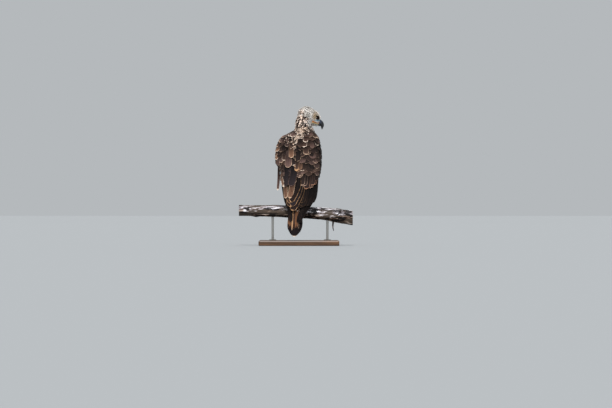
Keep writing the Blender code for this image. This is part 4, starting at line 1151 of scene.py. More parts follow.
def tierRow(side, tier, row, stations, rng):
    many = tier["rows"] > 1
    # The greater coverts of the right wing end in a curve that sags in its middle
    curved = side > 0 and "sag" in tier
    first, last = tier["root"], tier["tipRight"] if curved else tier["tip"]
    near = mix(*tier["open"], min(1.0, row / 2.0)) if many else first[1]
    nearTip = min(near, last[1]) if many else last[1]
    drop = row * tier["drop"] if many else 0.0
    looseDegrees, uneven = (1.9, 0.0068) if many else (0.9, 0.0050)
    made = []
    for i in range(tier["count"]):
        share = (i + (0.5 if row % 2 else 0.0)) / (tier["count"] - 0.5)
        sag = tier["sag"] * math.sin(math.pi * share**0.68) if curved else 0.0
        rootDegrees = mix(near, first[3], share) + rng.normal(0, looseDegrees)
        tipDegrees = mix(nearTip, last[3], share) + rng.normal(0, looseDegrees)
        root = (mix(first[0], first[2], share) - drop + rng.normal(0, 0.0018), rootDegrees)
        tip = (mix(last[0], last[2], share) - drop - sag + rng.normal(0, uneven), tipDegrees)
        between = mix(np.array(root), np.array(tip), 0.5)
        line = wingLine(side, stations, (root, between, tip), tier["depths"])
        half = mix(*tier["half"], share) * rng.uniform(0.85, 1.15)
        colours = wingTint(tier["name"], side, share, rng)
        if tier["name"] not in ("secondary", "primary"):
            colours = patchTint(line[0][-1], colours)
        made.append((line, half, colours, 0.75))
    return made


def heroRow(side, stations):
    made = []
    for rootX, rootZ, tipX, tipZ, half, bend, rootDepth, tipDepth, *looks in heroFeathers[side]:
        middle, rim, fringe, dull = looks
        # The feather's ends are turned into places on the wing, and its middle bent aside
        bent = ((rootX, rootZ), (mix(rootX, tipX, 0.5) + bend, mix(rootZ, tipZ, 0.5)), (tipX, tipZ))
        places = [(z, wingDegrees(side, x, z)) for x, z in bent]
        line = wingLine(side, stations, places, (rootDepth, tipDepth))
        made.append((line, half, (tint[middle], tint[rim], fringe), dull))
    return made


# The feather that hangs loose beside the left wing
def looseRow(stations):
    root, tip = np.array(looseStrip["root"]), np.array(looseStrip["tip"])
    middle = np.array([mix(root, tip, t) + np.array([looseStrip["sway"] * math.sin(math.pi * t), 0.0, 0.0])
                       for t in stations])
    line = squareLine(middle, np.array([0.0, -1.0, 0.0]))
    return [(line, looseStrip["half"], looseStrip["colours"], looseStrip["dull"])]


def buildWing(side, word, material):
    rng = np.random.default_rng(70 if side > 0 else 71)
    shape = vaneShape(10, 6)
    look = dict(vaneLook, bend=5.5, roll=-side * 0.0010, thick=0.0007, blunt=None, ragged=0.022,
                roundTip=0.12)
    for group, names in (("wingCoverts", ("lesser", "scapular", "median", "greater")),
                         ("flightFeathers", ("tertial", "secondary", "primary"))):
        rows = []
        for tier in wingTiers:
            for row in range(tier["rows"] if tier["name"] in names else 0):
                rows += tierRow(side, tier, row, shape["stations"], rng)
        if group == "wingCoverts":
            rows += heroRow(side, shape["stations"]) + (looseRow(shape["stations"]) if side < 0 else [])
        finishVanes(group + word, shape, rows, look, material, 80 + side)


wingMaterial = featherMaterial("closedWingFeathers", {
    "roughness": 0.62, "sheen": 0.01, "covered": 0.45, "paintedRootShade": 0.34, "tipReach": 4.6,
    "wearScale": 120.0, "shaft": 0.55, "barbs": 34.0, "bump": 0.45, "shaftColour": "2a2120",
})
for wingWord, wingSide in sides.items():
    buildWing(wingSide, wingWord, wingMaterial)


# Tail: six pairs of feathers, with long brown and short pale-edged coverts over their roots
tailSettings = {
    "rootHeight": 0.285, "tipHeight": 0.0435, "middle": -0.002, "back": -0.082, "slope": 0.150,
    "pairs": 6, "half": 0.0200, "layer": 0.0013, "step": {1: 0.0018, -1: 0.0026},
}
# Long coverts over the tail: where they end sideways, tip height, half width, middle, rim
longCoverts = (
    (-0.0225, 0.086, 0.0044, "tailBrown", "tailDark"), (-0.0115, 0.074, 0.0034, "ochre", "buff"),
    (-0.0030, 0.096, 0.0030, "midBrown", "tailDark"), (0.0070, 0.080, 0.0050, "tailBrown", "tailDark"),
    (0.0150, 0.090, 0.0020, "tailBrown", "russet"),
)


def tailPlane(z, layer):
    return tailSettings["back"] - (tailSettings["rootHeight"] - z) * tailSettings["slope"] + layer


def tailLine(stations, startX, endX, rootZ, tipZ, layers, tilt=0.0):
    slope = tailSettings["slope"]
    middle, out = [], []
    for t in stations:
        z = mix(rootZ, tipZ, t)
        x = tailSettings["middle"] + mix(startX, endX, t)
        middle.append((x, tailPlane(z, mix(layers[0], layers[1], t)), z))
        out.append(unit(np.array([tilt, -1.0, slope])))
    middle, out = toWorld(middle), np.array(out) @ birdTurn.T
    along = unit(np.gradient(middle, axis=0))
    return middle, out, np.cross(along, out)


def buildTail(material):
    plan = tailSettings
    rng = np.random.default_rng(90)
    shape = vaneShape(14, 8)
    rows = []
    for pair in range(plan["pairs"]):
        for side in (1, -1):
            start = side * (0.001 + plan["step"][side] * pair)
            layer = plan["layer"] * (2 * pair + (side > 0))
            tip = plan["tipHeight"] + 0.0007 * pair**2
            end = start + side * (0.0005 + 0.0010 * pair)
            line = tailLine(shape["stations"], start, end, plan["rootHeight"], tip, (layer, layer))
            middle = mix(tint["tailDark"], tint["tailBrown"], 0.25 + 0.25 * rng.random())
            rim, fringe = mix(tint["tailDark"], tint["edgeBrown"], 0.3), 0.20
            if side > 0:
                middle, rim = mix(middle, tint["blackBrown"], 0.92), tint["blackBrown"]
            if pair == 0 and side > 0:
                rim, fringe = tint["buff"], 0.10
            if pair > 2 and side < 0:
                rim, fringe = tint["russet"], 0.20
            rows.append((line, plan["half"], (middle, rim, fringe), 0.0))
    look = dict(vaneLook, bend=0.0, roll=0.0, thick=0.0007, blunt=0.84, ragged=0.02, roundTip=0.25)
    finishVanes("tailFeathers", shape, rows, look, material, 91)


# Row and place across, from -1 to 1, of feathers in staggered rows
def staggered(rows, count):
    return [(row, 2 * (i + 0.5 * (row % 2)) / (count - 0.5) - 1) for row in range(rows) for i in range(count)]


def buildTailCoverts(material, longMaterial):
    rng = np.random.default_rng(95)
    shape = vaneShape(12, 4)
    rows = []
    for number, (across, tip, half, middle, rim) in enumerate(longCoverts):
        layers = (-0.0004, -0.0022 - 0.0008 * (number % 2))
        line = tailLine(shape["stations"], across * 0.8, across, 0.270, tip, layers)
        rows.append((line, half, (tint[middle], tint[rim], 0.24), 0.0))
    look = dict(vaneLook, bend=2.0, roll=0.0, thick=0.0006, blunt=0.60, ragged=0.03, roundTip=0.4)
    finishVanes("longTailCoverts", shape, rows, look, longMaterial, 97)
    shape = vaneShape(7, 4)
    rows = []
    # Upper coverts in three short rows, whose thin pale edges show below the wings
    for row, across in staggered(3, 7):
        root = 0.292 - 0.010 * row
        tip = 0.186 - 0.013 * row + 0.010 * abs(across) + rng.normal(0, 0.004)
        layers = (0.002, -0.0058 + 0.0014 * row + 0.003 * across**2)
        line = tailLine(shape["stations"], 0.012 * across, 0.020 * across, root, tip, layers, 0.3 * across)
        middle = mix(tint["darkBrown"], tint["warmBrown"], 0.7 * rng.random())
        if across > 0.25:
            middle = mix(middle, tint["blackBrown"], 0.8)
        pale = mix(tint["buff"], tint["headWhite"], rng.random())
        rows.append((line, 0.0080, (middle, pale, 0.20 if across < 0.25 else 0.08), 0.0))
    # Under coverts, whitish, on the side away from the back
    low = tailSettings["layer"] * 2 * tailSettings["pairs"]
    for row, across in staggered(4, 7):
        root, tip = 0.282 - 0.022 * row, 0.226 - 0.030 * row + rng.normal(0, 0.002)
        layers = (low + 0.006, low + 0.0105 - 0.0022 * row - 0.003 * across**2)
        line = tailLine(shape["stations"], 0.016 * across, 0.019 * across, root, tip, layers, -0.3 * across)
        line = (line[0], -line[1], -line[2])
        rows.append((line, 0.0085, (tint["bellyWhite"], tint["bellyWhite"] * 1.05, 0.4), 0.0))
    look = dict(vaneLook, bend=5.0, roll=0.0006, thick=0.0005, blunt=0.55, ragged=0.05, roundTip=0.3)
    finishVanes("tailCoverts", shape, rows, look, material, 96)


tailMaterial = featherMaterial("bandedTailFeathers", {
    "roughness": 0.62, "sheen": 0.01, "covered": 0.20, "paintedRootShade": 0.80, "tipReach": 6.0,
    "wearScale": 110.0, "shaft": 0.6, "barbs": 60.0, "bump": 0.45, "shaftColour": "2a2120",
    "band": {"start": 0.74, "full": 0.86, "drift": 0.16, "colour": "tailDark", "end": 0.985,
             "endColour": "paleBuff"},
})
buildTail(tailMaterial)
buildTailCoverts(bodyFeatherMaterial, wingMaterial)


# Bill: the cere is waxy and smooth, the horn darkens from slate to black at the hook
upperBill = {
    "path": ((0.0, 0.0160, -0.0105), (0.35, 0.0308, -0.0108), (0.62, 0.0402, -0.0160),
             (0.82, 0.0456, -0.0250), (1.0, 0.0500, -0.0396)),
    "sizes": ((0.0, 0.0120, 0.0110), (0.35, 0.0114, 0.0094), (0.62, 0.0108, 0.0074),
              (0.82, 0.0084, 0.0050), (1.0, 0.0009, 0.0007)),
    "rows": 48, "sides": 40, "cereEnd": 0.30,
    "nostril": (0.0275, -0.0040), "nostrilSize": (0.0034, 0.0016), "nostrilDepth": 0.0020,
}
lowerBill = {
    "path": ((0.0, 0.0090, -0.0260, 0.0044, 0.0070), (0.45, 0.0230, -0.0252, 0.0056, 0.0076),
             (0.82, 0.0340, -0.0246, 0.0044, 0.0048), (1.0, 0.0385, -0.0244, 0.0014, 0.0016)),
    "rows": 30, "sides": 28,
}


# Keratin of the bill: smooth, slightly worn horn with a soft gloss, slate at the cere and black at the hook
def hornMaterial():
    material, add, place = newMaterial("billHorn")
    along = add("Attribute", {"attribute_name": "along"}).outputs["Fac"]
    pit = add("Attribute", {"attribute_name": "pit"}).outputs["Fac"]
    grain = add("TexNoise", {"Scale": 240.0, "Detail": 4.0, "Vector": place})
    drift = add("Math", {"operation": "MULTIPLY_ADD", 0: grain, 1: 0.14, 2: -0.07})
    at = add("Math", {"operation": "ADD", 0: along, 1: drift})
    ramp = add("ValToRGB", {0: at, "ramp": [
        (0.0, "545f76"), (1.0, "060607"), (0.16, "39425a"), (0.30, "272d3a"), (0.46, "14171e"),
        (0.66, "0b0c10"),
    ]})
    # The nostril's pit is painted near black, which is painted shade in the opening
    colour = add("Mix", {"data_type": "RGBA", 0: pit, 6: ramp, 7: "0c0b0c"})
    rough = add("MapRange", {0: grain, 3: 0.26, 4: 0.44})
    bump = add("Bump", {"Strength": 0.25, "Distance": 0.0003, "Height": grain})
    return dressShader(material, {
        "Base Color": colour, "Roughness": rough, "Normal": bump, "IOR": 1.54, "Specular IOR Level": 0.5,
        "Coat Weight": 0.25, "Coat Roughness": 0.25,
    })


# Ahead, right and up of a point of the upper bill, and how far it lies in the nostril
def upperBillPoint(t, angle):
    plan = upperBill
    ahead, up = readTable(plan["path"], t)
    before, after = readTable(plan["path"], max(0.0, t - 0.02)), readTable(plan["path"], min(1.0, t + 0.02))
    run = unit(np.array([after[0] - before[0], after[1] - before[1]]))
    tall, wide = readTable(plan["sizes"], t)
    top = math.cos(angle)
    # The cere swells a little and ends in a fine step; the horn's ridge is keeled
    swell = 1 + 0.035 * (1 - ease(plan["cereEnd"] - 0.02, plan["cereEnd"] + 0.02, t))
    keel = 1 - 0.13 * (1 - abs(top)) * (top > 0)
    rise = tall * swell * (top if top > 0 else -0.84 * abs(top) ** 0.55)
    right = wide * swell * keel * math.copysign(abs(math.sin(angle)) ** 0.92, math.sin(angle))
    ahead, up = ahead - run[1] * rise, up + run[0] * rise
    overAhead, overUp = ahead - plan["nostril"][0], up - plan["nostril"][1]
    reach = math.hypot((overAhead * 0.86 + overUp * 0.5) / plan["nostrilSize"][0],
                       (overUp * 0.86 - overAhead * 0.5) / plan["nostrilSize"][1])
    pit = float(1 - ease(0.65, 1.1, reach)) if abs(right) > 0.004 else 0.0
    return ahead, right - math.copysign(plan["nostrilDepth"] * pit, right), up, pit


def lowerBillPoint(t, angle):
    ahead, up, tall, wide = readTable(lowerBill["path"], t)
    top = math.cos(angle)
    rise = tall * (0.80 * abs(top) ** 0.5 if top > 0 else top)
    return ahead, wide * math.sin(angle), up + rise


def buildBill(material):
    upperMarks = {"along": lambda t, angle: t, "pit": lambda t, angle: upperBillPoint(t, angle)[3]}
    upper = (addTube, upperBill["rows"], upperBill["sides"],
             lambda t, angle: onHead(*upperBillPoint(t, angle)[:3]), upperMarks)
    buildRound("billUpper", [upper], material, ("bill_upper",), 60)
    lowerMarks = {"along": lambda t, angle: 0.30 + 0.5 * t, "pit": lambda t, angle: 0.0}
    lower = (addTube, lowerBill["rows"], lowerBill["sides"],
             lambda t, angle: onHead(*lowerBillPoint(t, angle)), lowerMarks)
    buildRound("billLower", [lower], material, ("bill_lower",), 60)
    print("bill")


buildBill(hornMaterial())


# Eyes: a glassy ball with a dark brown iris, bedded in bare lids
eyeSettings = {
    "radius": 0.0105, "side": 0.0190, "bulge": 0.0007, "cornea": 0.62, "gazeAhead": 0.30,
    "lidRadius": 0.0093, "lidTube": 0.0021, "lidSide": 0.0272,
}


# Wet cornea over a dark iris, which gives one sharp highlight on near black
def eyeMaterial():
    material, add, place = newMaterial("wetEye")
    ring = add("Attribute", {"attribute_name": "ring"}).outputs["Fac"]
    fibres = add("TexNoise", {"Scale": 700.0, "Detail": 3.0, "Vector": place})
    drift = add("Math", {"operation": "MULTIPLY_ADD", 0: fibres, 1: 0.05, 2: -0.025})
    at = add("Math", {"operation": "ADD", 0: ring, 1: drift})
    ramp = add("ValToRGB", {0: at, "ramp": [
        (0.0, "050404"), (1.0, "1c1512"), (0.30, "050404"), (0.36, "281a10"), (0.50, "352213"),
        (0.60, "0e0a08"), (0.66, "1d1613"),
    ]})
    return dressShader(material, {
        "Base Color": ramp, "Roughness": 0.05, "IOR": 1.38, "Specular IOR Level": 0.15,
    })


# Bare skin of the lids: dark and finely pored, with hardly a shine, so that the eye's highlight stands out
def lidMaterial():
    material, add, place = newMaterial("bareLidSkin")
    pores = add("TexVoronoi", {"Scale": 1300.0, "Vector": place})
    ramp = add("ValToRGB", {0: pores, "ramp": [(0.0, "090808"), (1.0, "241d19")]})
    rough = add("MapRange", {0: pores, 3: 0.45, 4: 0.65})
    bump = add("Bump", {"Strength": 0.5, "Distance": 0.0003, "Height": pores})
    return dressShader(material, {
        "Base Color": ramp, "Roughness": rough, "Normal": bump, "Specular IOR Level": 0.15,
        "Subsurface Weight": 0.08, "Subsurface Scale": 0.002,
    })


def buildEye(side, word, glass, lidSkin):
    plan = eyeSettings
    gaze = unit(headRight * side + headAhead * plan["gazeAhead"] + headUp * 0.04)
    level = unit(np.cross(headUp, gaze))
    upright = np.cross(gaze, level)
    centre = onHead(-headFrame["eyesBack"], side * plan["side"], 0.0)

    def ringShare(t, angle):
        return math.sin(math.pi * (1 - t)) if t > 0.5 else 1.0

    def ball(t, angle):
        polar = math.pi * (1 - t)
        radius = plan["radius"] + plan["bulge"] * max(0.0, 1 - (ringShare(t, angle) / plan["cornea"]) ** 2)
        way = gaze * math.cos(polar) + (level * math.sin(angle) + upright * math.cos(angle)) * math.sin(polar)
        return centre + way * radius

    # The lids are one soft rim, thicker above, where the brow presses on it
    def rim(t, angle):
        turn = 2 * math.pi * t
        thick = plan["lidTube"] * (1 + 0.35 * max(0.0, math.sin(turn)) + 0.08 * math.sin(9 * turn))
        away = plan["lidRadius"] + thick * 0.9 * math.cos(angle)
        ahead, up = away * 1.06 * math.cos(turn), away * 0.88 * math.sin(turn)
        out = plan["lidSide"] - 0.25 * max(0.0, ahead) - 0.05 * up + thick * math.sin(angle)
        return onHead(-headFrame["eyesBack"] + ahead, side * out, up)

    parts = [(addBall, 40, 40, ball, {"ring": ringShare})]
    buildRound("eye" + word, parts, glass, ("eye_" + word.lower(),))
    bm = bmesh.new()
    bmesh.ops.create_grid(bm, x_segments=12, y_segments=48, size=0.5)
    for v in bm.verts:
        v.co = Vector(rim(v.co.y + 0.5, 2 * math.pi * (v.co.x + 0.5)))
    finishPiece(closeMesh("lids" + word, bm), lidSkin)


wetEye, bareLidSkin = eyeMaterial(), lidMaterial()
for eyeWord, eyeSide in sides.items():
    buildEye(eyeSide, eyeWord, wetEye, bareLidSkin)
print("eyes")


# Mouth: the bare, waxy lips run from the bill back under the eye, from one level out to the other; each has
# its middle's height over the line of the mouth, its half height behind and in front, and how far it swells
lipSettings = {
    "start": -0.0245, "end": 0.0215, "levels": (0.0274, 0.0114), "sunk": 0.0006,
    "Upper": {"over": 0.0046, "tall": (0.0068, 0.0048), "swell": 0.0022},
    "Lower": {"over": -0.0030, "tall": (0.0018, 0.0016), "swell": 0.0014},
}


# Waxy skin that lets a little light in, so that the orange and the yellow look moist
def lipMaterial(name, pale, deep):
    material, add, place = newMaterial(name)
    soft = add("TexNoise", {"Scale": 300.0, "Detail": 3.0, "Vector": place})
    ramp = add("ValToRGB", {0: soft, "ramp": [(0.3, deep), (0.7, pale)]})
    bump = add("Bump", {"Strength": 0.3, "Distance": 0.0003, "Height": soft})
    return dressShader(material, {
        "Base Color": ramp, "Normal": bump, "Roughness": 0.42, "Specular IOR Level": 0.45,
        "Subsurface Weight": 0.12, "Subsurface Scale": 0.002,
    })


def lipPoint(side, plan, t, angle):
    ahead = mix(lipSettings["start"], lipSettings["end"], t)
    level = mix(*lipSettings["levels"], max(0.0, (t - 0.02) / 0.98) ** 1.35)
    ends = endRounding(t, 0.12, 0.06)
    tall, swell = mix(*plan["tall"], t) * ends, plan["swell"] * ends * (1 + 0.10 * math.sin(31 * t))
    up = float(mouthHeight(ahead)) + plan["over"] + tall * math.cos(angle)
    return onHead(ahead, side * (level - lipSettings["sunk"] + swell * math.sin(angle)), up)


lipSkins = {"Upper": lipMaterial("orangeGapeSkin", "bf7c4c", "8a5430"),
            "Lower": lipMaterial("yellowChinSkin", "d3bf8a", "a8915a")}
for lipWord, lipSide in sides.items():
    for lipName, lipSkin in lipSkins.items():
        lipParts = [(addBall, 34, 18, partial(lipPoint, lipSide, lipSettings[lipName]))]
        buildRound("lip" + lipName + lipWord, lipParts, lipSkin)
print("lips")


# Branch, feet and claws; the branch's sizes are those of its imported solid
branchTable = (
    (-0.290, 0.1655, 0.0268), (-0.200, 0.1660, 0.0272), (-0.110, 0.1630, 0.0278), (0.000, 0.1590, 0.0292),
    (0.110, 0.1505, 0.0305), (0.190, 0.1405, 0.0325), (0.260, 0.1290, 0.0340),
)
branchSettings = {
    "left": -0.285, "right": 0.255, "rows": 330, "sides": 110, "cracks": 44, "crackDepth": 0.0036,
    "fibre": 0.0006, "flake": 0.0011, "perchX": 0.011, "snagRoot": (0.1590, -0.0040, 0.1280),
    "snagEnd": (0.1640, -0.0070, 0.0710), "snagSizes": (0.0062, 0.0016),
}


def branchRadius(x, angle):
    base = readTable(branchTable, x)[1]
    rough = 0.25 + 0.75 * min(1.0, abs(x - branchSettings["perchX"]) / 0.10)     # calm under the feet
    lumps = 0.045 * math.sin(2 * angle + 21 * x + 0.6) + 0.03 * math.sin(3 * angle - 34 * x)
    knot = 0.14 * math.exp(-(((x - 0.185) / 0.018) ** 2)) * max(0.0, math.cos(angle - 2.3)) ** 3
    stub = 0.16 * math.exp(-(((x + 0.205) / 0.015) ** 2)) * max(0.0, math.cos(angle + 1.9)) ** 3
    return base * (1 + rough * lumps + knot + stub)


# Drying cracks along the grain: where each starts and ends, its angle, wander, pitch, width and depth
def makeCracks():
    rng = np.random.default_rng(21)
    cracks = []
    for _ in range(branchSettings["cracks"]):
        middle, reach = rng.uniform(branchSettings["left"], branchSettings["right"]), rng.uniform(0.03, 0.13)
        ranges = ((-math.pi, math.pi), (0.05, 0.16), (20, 45), (0.035, 0.085), (0.4, 1.0))
        cracks.append((middle - reach, middle + reach, *(rng.uniform(*limits) for limits in ranges)))
    return cracks


cracks = makeCracks()


# How far a spot of the branch is sunk by cracks, from 0 to 1, and how high its weathered skin stands
def branchWear(x, angle):
    sunk = 0.0
    for start, end, turn, wander, pitch, width, depth in cracks:
        if start < x < end:
            line = turn + wander * math.sin(pitch * x + turn * 3)
            off = abs((angle - line + math.pi) % (2 * math.pi) - math.pi)
            ends = min(1.0, (x - start) / 0.02, (end - x) / 0.02)
            sunk = max(sunk, depth * ends * max(0.0, 1 - off / width) ** 0.6)
    flake = noise.noise(Vector((x * 16.0, math.sin(angle) * 1.7, math.cos(angle) * 1.7)))
    return sunk, float(ease(-0.04, 0.06, flake))


def branchPoint(t, angle):
    plan = branchSettings
    x = mix(plan["left"], plan["right"], t)
    sunk, flake = branchWear(x, angle)
    ring = Vector((x * 14.0, math.sin(angle) * 9.0, math.cos(angle) * 9.0))
    grain = noise.noise(ring) + 0.5 * noise.noise(ring * 2.3)
    calm = 0.35 + 0.65 * min(1.0, abs(x - plan["perchX"]) / 0.08)
    radius = branchRadius(x, angle) - plan["crackDepth"] * sunk * calm + plan["fibre"] * grain
    radius += plan["flake"] * (flake - 1.0) * calm
    return np.array([x, -radius * math.cos(angle), readTable(branchTable, x)[0] + radius * math.sin(angle)])


# Bleached dead branch: silver grey wood with brown patches of old bark, painted shade in its cracks and
# painted shade on its underside. Its fibres run along it, in streaks from 8 mm wide down to fine ones
def deadwoodMaterial():
    material, add, place = newMaterial("bleachedDeadwood")
    sunk, flake, cutEnd = (add("Attribute", {"attribute_name": mark}).outputs["Fac"]
                           for mark in ("crack", "flake", "cutEnd"))
    # Fibres, patches of bark, and blackened spots of two to four centimetres
    fibres, patches, spots = (
        add("TexNoise", {"Scale": 1.0, "Detail": detail, "Roughness": rough,
                         "Vector": add("Mapping", {"Scale": (along, around, around), "Vector": place})})
        for along, around, detail, rough in ((18.0, 120.0, 6.0, 0.62), (10.0, 26.0, 5.0, 0.6),
                                             (30.0, 80.0, 4.0, 0.55)))
    grey = add("ValToRGB", {0: fibres, "ramp": [
        (0.39, "151111"), (0.58, "fbf8fb"), (0.45, "5a5255"), (0.51, "c4bcc2"),
    ]})
    brown = add("ValToRGB", {0: fibres, "ramp": [
        (0.42, "0b0908"), (0.63, "c4b3a6"), (0.51, "221815"), (0.57, "5e4536"),
    ]})
    # Painted shade on the underside: the lower a spot lies, the more of the dark bark colours it takes
    axes = add("SeparateXYZ", {0: place}).outputs
    level = add("Math", {"operation": "MULTIPLY_ADD", 0: axes[0], 1: 0.065, 2: axes[2]})
    lower = add("MapRange", {0: level, 1: 0.170, 2: 0.138, 3: -0.06, 4: 0.18})
    barkAndUndersideShade = add("Math", {"operation": "ADD", 0: patches, 1: lower})
    barkAndUndersideShadeShare = add("MapRange", {0: barkAndUndersideShade, 1: 0.50, 2: 0.56})
    wood = add("Mix", {"data_type": "RGBA", 0: barkAndUndersideShadeShare, 6: grey, 7: brown})
    # Over it lie the black spots, then bare wood where skin has flaked off, then painted shade in the cracks
    black = add("MapRange", {0: spots, 1: 0.495, 2: 0.52, 4: 0.95})
    bare = add("MapRange", {0: flake, 1: 0.0, 2: 0.5, 3: 0.35, 4: 0.0})
    deep = add("MapRange", {0: sunk, 1: 0.10, 2: 0.55, 4: 0.92})
    for share, shade in ((black, "16110f"), (bare, "7a6a5c"), (deep, "17120f")):
        wood = add("Mix", {"data_type": "RGBA", 0: share, 6: wood, 7: shade})
    # Rings on the sawn ends, two millimetres apart
    rings = add("Math", {"operation": "MULTIPLY", 0: cutEnd, 1: 2 * math.pi / 0.002})
    ripple = add("MapRange", {0: add("Math", {"operation": "SINE", 0: rings}), 1: -1.6, 2: 1.6})
    sawn = add("ValToRGB", {0: ripple, "ramp": [(0.2, "8d7558"), (0.8, "cdb590")]})
    onEnd = add("Math", {"operation": "GREATER_THAN", 0: cutEnd, 1: 0.0004})
    colour = add("Mix", {"data_type": "RGBA", 0: onEnd, 6: wood, 7: sawn})
    rough = add("MapRange", {0: fibres, 3: 0.72, 4: 0.95})
    bump = add("Bump", {"Strength": 0.7, "Distance": 0.0009, "Height": fibres})
    return dressShader(material, {
        "Base Color": colour, "Roughness": rough, "Normal": bump, "Specular IOR Level": 0.2,
    })


# The broken twig under the branch: a bent taper with a torn end
def snagPoint(t, angle):
    root, end = (np.array(branchSettings[key]) for key in ("snagRoot", "snagEnd"))
    thick = mix(*branchSettings["snagSizes"], t**0.8) * (1 + 0.16 * math.sin(3 * angle + 9 * t))
    sway = 0.0016 * math.sin(2 * math.pi * t)
    torn = 0.0020 * math.sin(5 * angle) * ease(0.9, 1.0, t)
    return mix(root, end, t) + np.array([sway + thick * math.cos(angle), thick * math.sin(angle), -torn])


def buildBranch(material):
    plan = branchSettings
    bm = bmesh.new()

    def wearAt(kind, t, angle):
        return branchWear(mix(plan["left"], plan["right"], t), angle)[kind]

    marks = {"crack": partial(wearAt, 0), "flake": partial(wearAt, 1), "cutEnd": lambda t, angle: 0.0}
    addTube(bm, plan["rows"], plan["sides"], branchPoint, marks)
    cutEnd = bm.verts.layers.float["cutEnd"]
    # Each sawn end is drawn in ring by ring, so that it can carry its rings
    for end in sorted([f for f in bm.faces if len(f.verts) > 20], key=lambda f: f.calc_center_median().x):
        centre = end.calc_center_median()
        for step in range(9):
            end = bmesh.ops.extrude_discrete_faces(bm, faces=[end])["faces"][0]
            for v in end.verts:
                v.co = centre + (v.co - centre) * ((9.3 - step) / (10.3 - step))
                v.co.x = centre.x
                v[cutEnd] = 0.001 + (v.co - centre).length
    # The twig's crack mark gives it streaks of the same painted crack shade
    addTube(bm, 30, 16, snagPoint, {"crack": lambda t, angle: 0.35 * max(0.0, math.sin(3 * angle + 9 * t)),
                                    "flake": lambda t, angle: 0.4, "cutEnd": lambda t, angle: 0.0})
    mesh = closeMesh("perchBranch", bm)
    finishPiece(mesh, material, ("perch_branch",), sharpAngle=50)
    print("branch:", len(mesh.polygons) * 2, "triangles")


buildBranch(deadwoodMaterial())

footSettings = {
    "x": {"left": -0.044, "right": 0.028}, "y": 0.002, "pad": (0.0115, 0.0125, 0.0085), "tarsus": 0.0068,
    "toe": 0.0068, "claw": 0.0043, "toeHeight": 0.0050, "padHeight": 0.0045,
    "legTop": (0.040, 0.020, 0.345), "ankle": 0.192, "scutes": 11, "tarsusScutes": 15,
}
# Name, sideways reach at the toe's end, angle round the branch where toe and claw end
toes = (
    ("inner", -0.021, 12.0, -42.0), ("middle", 0.002, -4.0, -54.0), ("outer", 0.024, 16.0, -36.0),
    ("hind", 0.000, 148.0, 206.0),
)


# A point round the branch: 90 degrees is its top and 0 its front, away from the tail
def gripPoint(x, degrees, reach):
    z, radius = readTable(branchTable, x)
    a = math.radians(degrees)
    return np.array([x, (radius + reach) * math.cos(a), z + (radius + reach) * math.sin(a)])


def legPoint(footX, t):
    side = 1 if footX > 0 else -1
    low = np.array([footX, footSettings["y"], footSettings["ankle"]])
    top = footSettings["legTop"]
    return mix(low, toWorld((side * top[0], top[1], top[2])), t)


# Plates across the front of a toe or shank: a saw of small steps
def scuteStep(t, count):
    share = (t * count) % 1.0
    return share**0.7 * (1 - ease(0.86, 1.0, share))


def toePoint(footX, sideways, end, t, angle):
    plan = footSettings
    x = footX + sideways * math.sin(t * math.pi / 2)
    degrees = mix(90.0, end, t)
    knuckles = 1 + 0.10 * math.cos(2 * math.pi * 2.5 * t)
    size = mix(plan["toe"], plan["toe"] * 0.72, t) * knuckles * endRounding(t, 0.03, 0.10)
    upper = max(0.0, math.cos(angle))
    size *= 1 + 0.075 * scuteStep(t, plan["scutes"]) * upper**0.5 + 0.05 * (1 - upper) * math.sin(40 * t) ** 2
    middle = gripPoint(x, degrees, plan["toeHeight"])
    out = unit(middle - np.array([x, 0, readTable(branchTable, x)[0]]))
    rise = max(size * math.cos(angle), -plan["toeHeight"])
    return middle + out * rise + np.array([size * math.sin(angle), 0, 0])


def clawPoint(footX, sideways, start, end, t, angle):
    plan = footSettings
    x = footX + sideways * (1 + 0.10 * t)
    degrees = mix(start + math.copysign(2.0, start - end), end, t)
    size = plan["claw"] * (1 - t) ** 0.75 + 0.0003
    reach = plan["toeHeight"] + 0.0050 * math.sin(math.pi * min(1.0, t * 1.15)) - 0.0028 * t
    middle = gripPoint(x, degrees, reach)
    out = unit(middle - np.array([x, 0, readTable(branchTable, x)[0]]))
    groove = 1 - 0.10 * max(0.0, -math.cos(angle)) ** 4
    return middle + out * (size * groove * math.cos(angle)) + np.array([size * 0.8 * math.sin(angle), 0, 0])


# Scaly skin of the legs: pale greyish plates, dry, with darker seams; the small scales are under 2 mm
def scaleMaterial():
    material, add, place = newMaterial("scalyLegSkin")
    scales = add("TexVoronoi", {"feature": "DISTANCE_TO_EDGE", "Scale": 560.0, "Vector": place})
    tone = add("TexNoise", {"Scale": 120.0, "Detail": 3.0, "Vector": place})
    seams = add("MapRange", {0: scales, 1: 0.0, 2: 0.12, 3: 0.45, 4: 1.0})
    base = add("ValToRGB", {0: tone, "ramp": [(0.3, "b3ad9c"), (0.7, "dcd7c8")]})
    colour = add("VectorMath", {"operation": "SCALE", 0: base, 3: seams})
    rough = add("MapRange", {0: tone, 3: 0.45, 4: 0.62})
    bump = add("Bump", {"Strength": 0.6, "Distance": 0.0005, "Height": seams})
    return dressShader(material, {
        "Base Color": colour, "Roughness": rough, "Normal": bump, "Specular IOR Level": 0.4,
        "Subsurface Weight": 0.05, "Subsurface Scale": 0.003,
    })


# Black claw horn with a soft polish, a little paler at its root
def clawMaterial():
    material, add, place = newMaterial("clawHorn")
    along = add("Attribute", {"attribute_name": "along"}).outputs["Fac"]
    grain = add("TexNoise", {"Scale": 500.0, "Detail": 3.0, "Vector": place})
    ramp = add("ValToRGB", {0: along, "ramp": [(0.0, "3b3633"), (0.35, "141214")]})
    rough = add("MapRange", {0: grain, 3: 0.24, 4: 0.42})
    bump = add("Bump", {"Strength": 0.2, "Distance": 0.0002, "Height": grain})
    return dressShader(material, {
        "Base Color": ramp, "Roughness": rough, "Normal": bump, "IOR": 1.54, "Coat Weight": 0.2,
        "Coat Roughness": 0.2,
    })


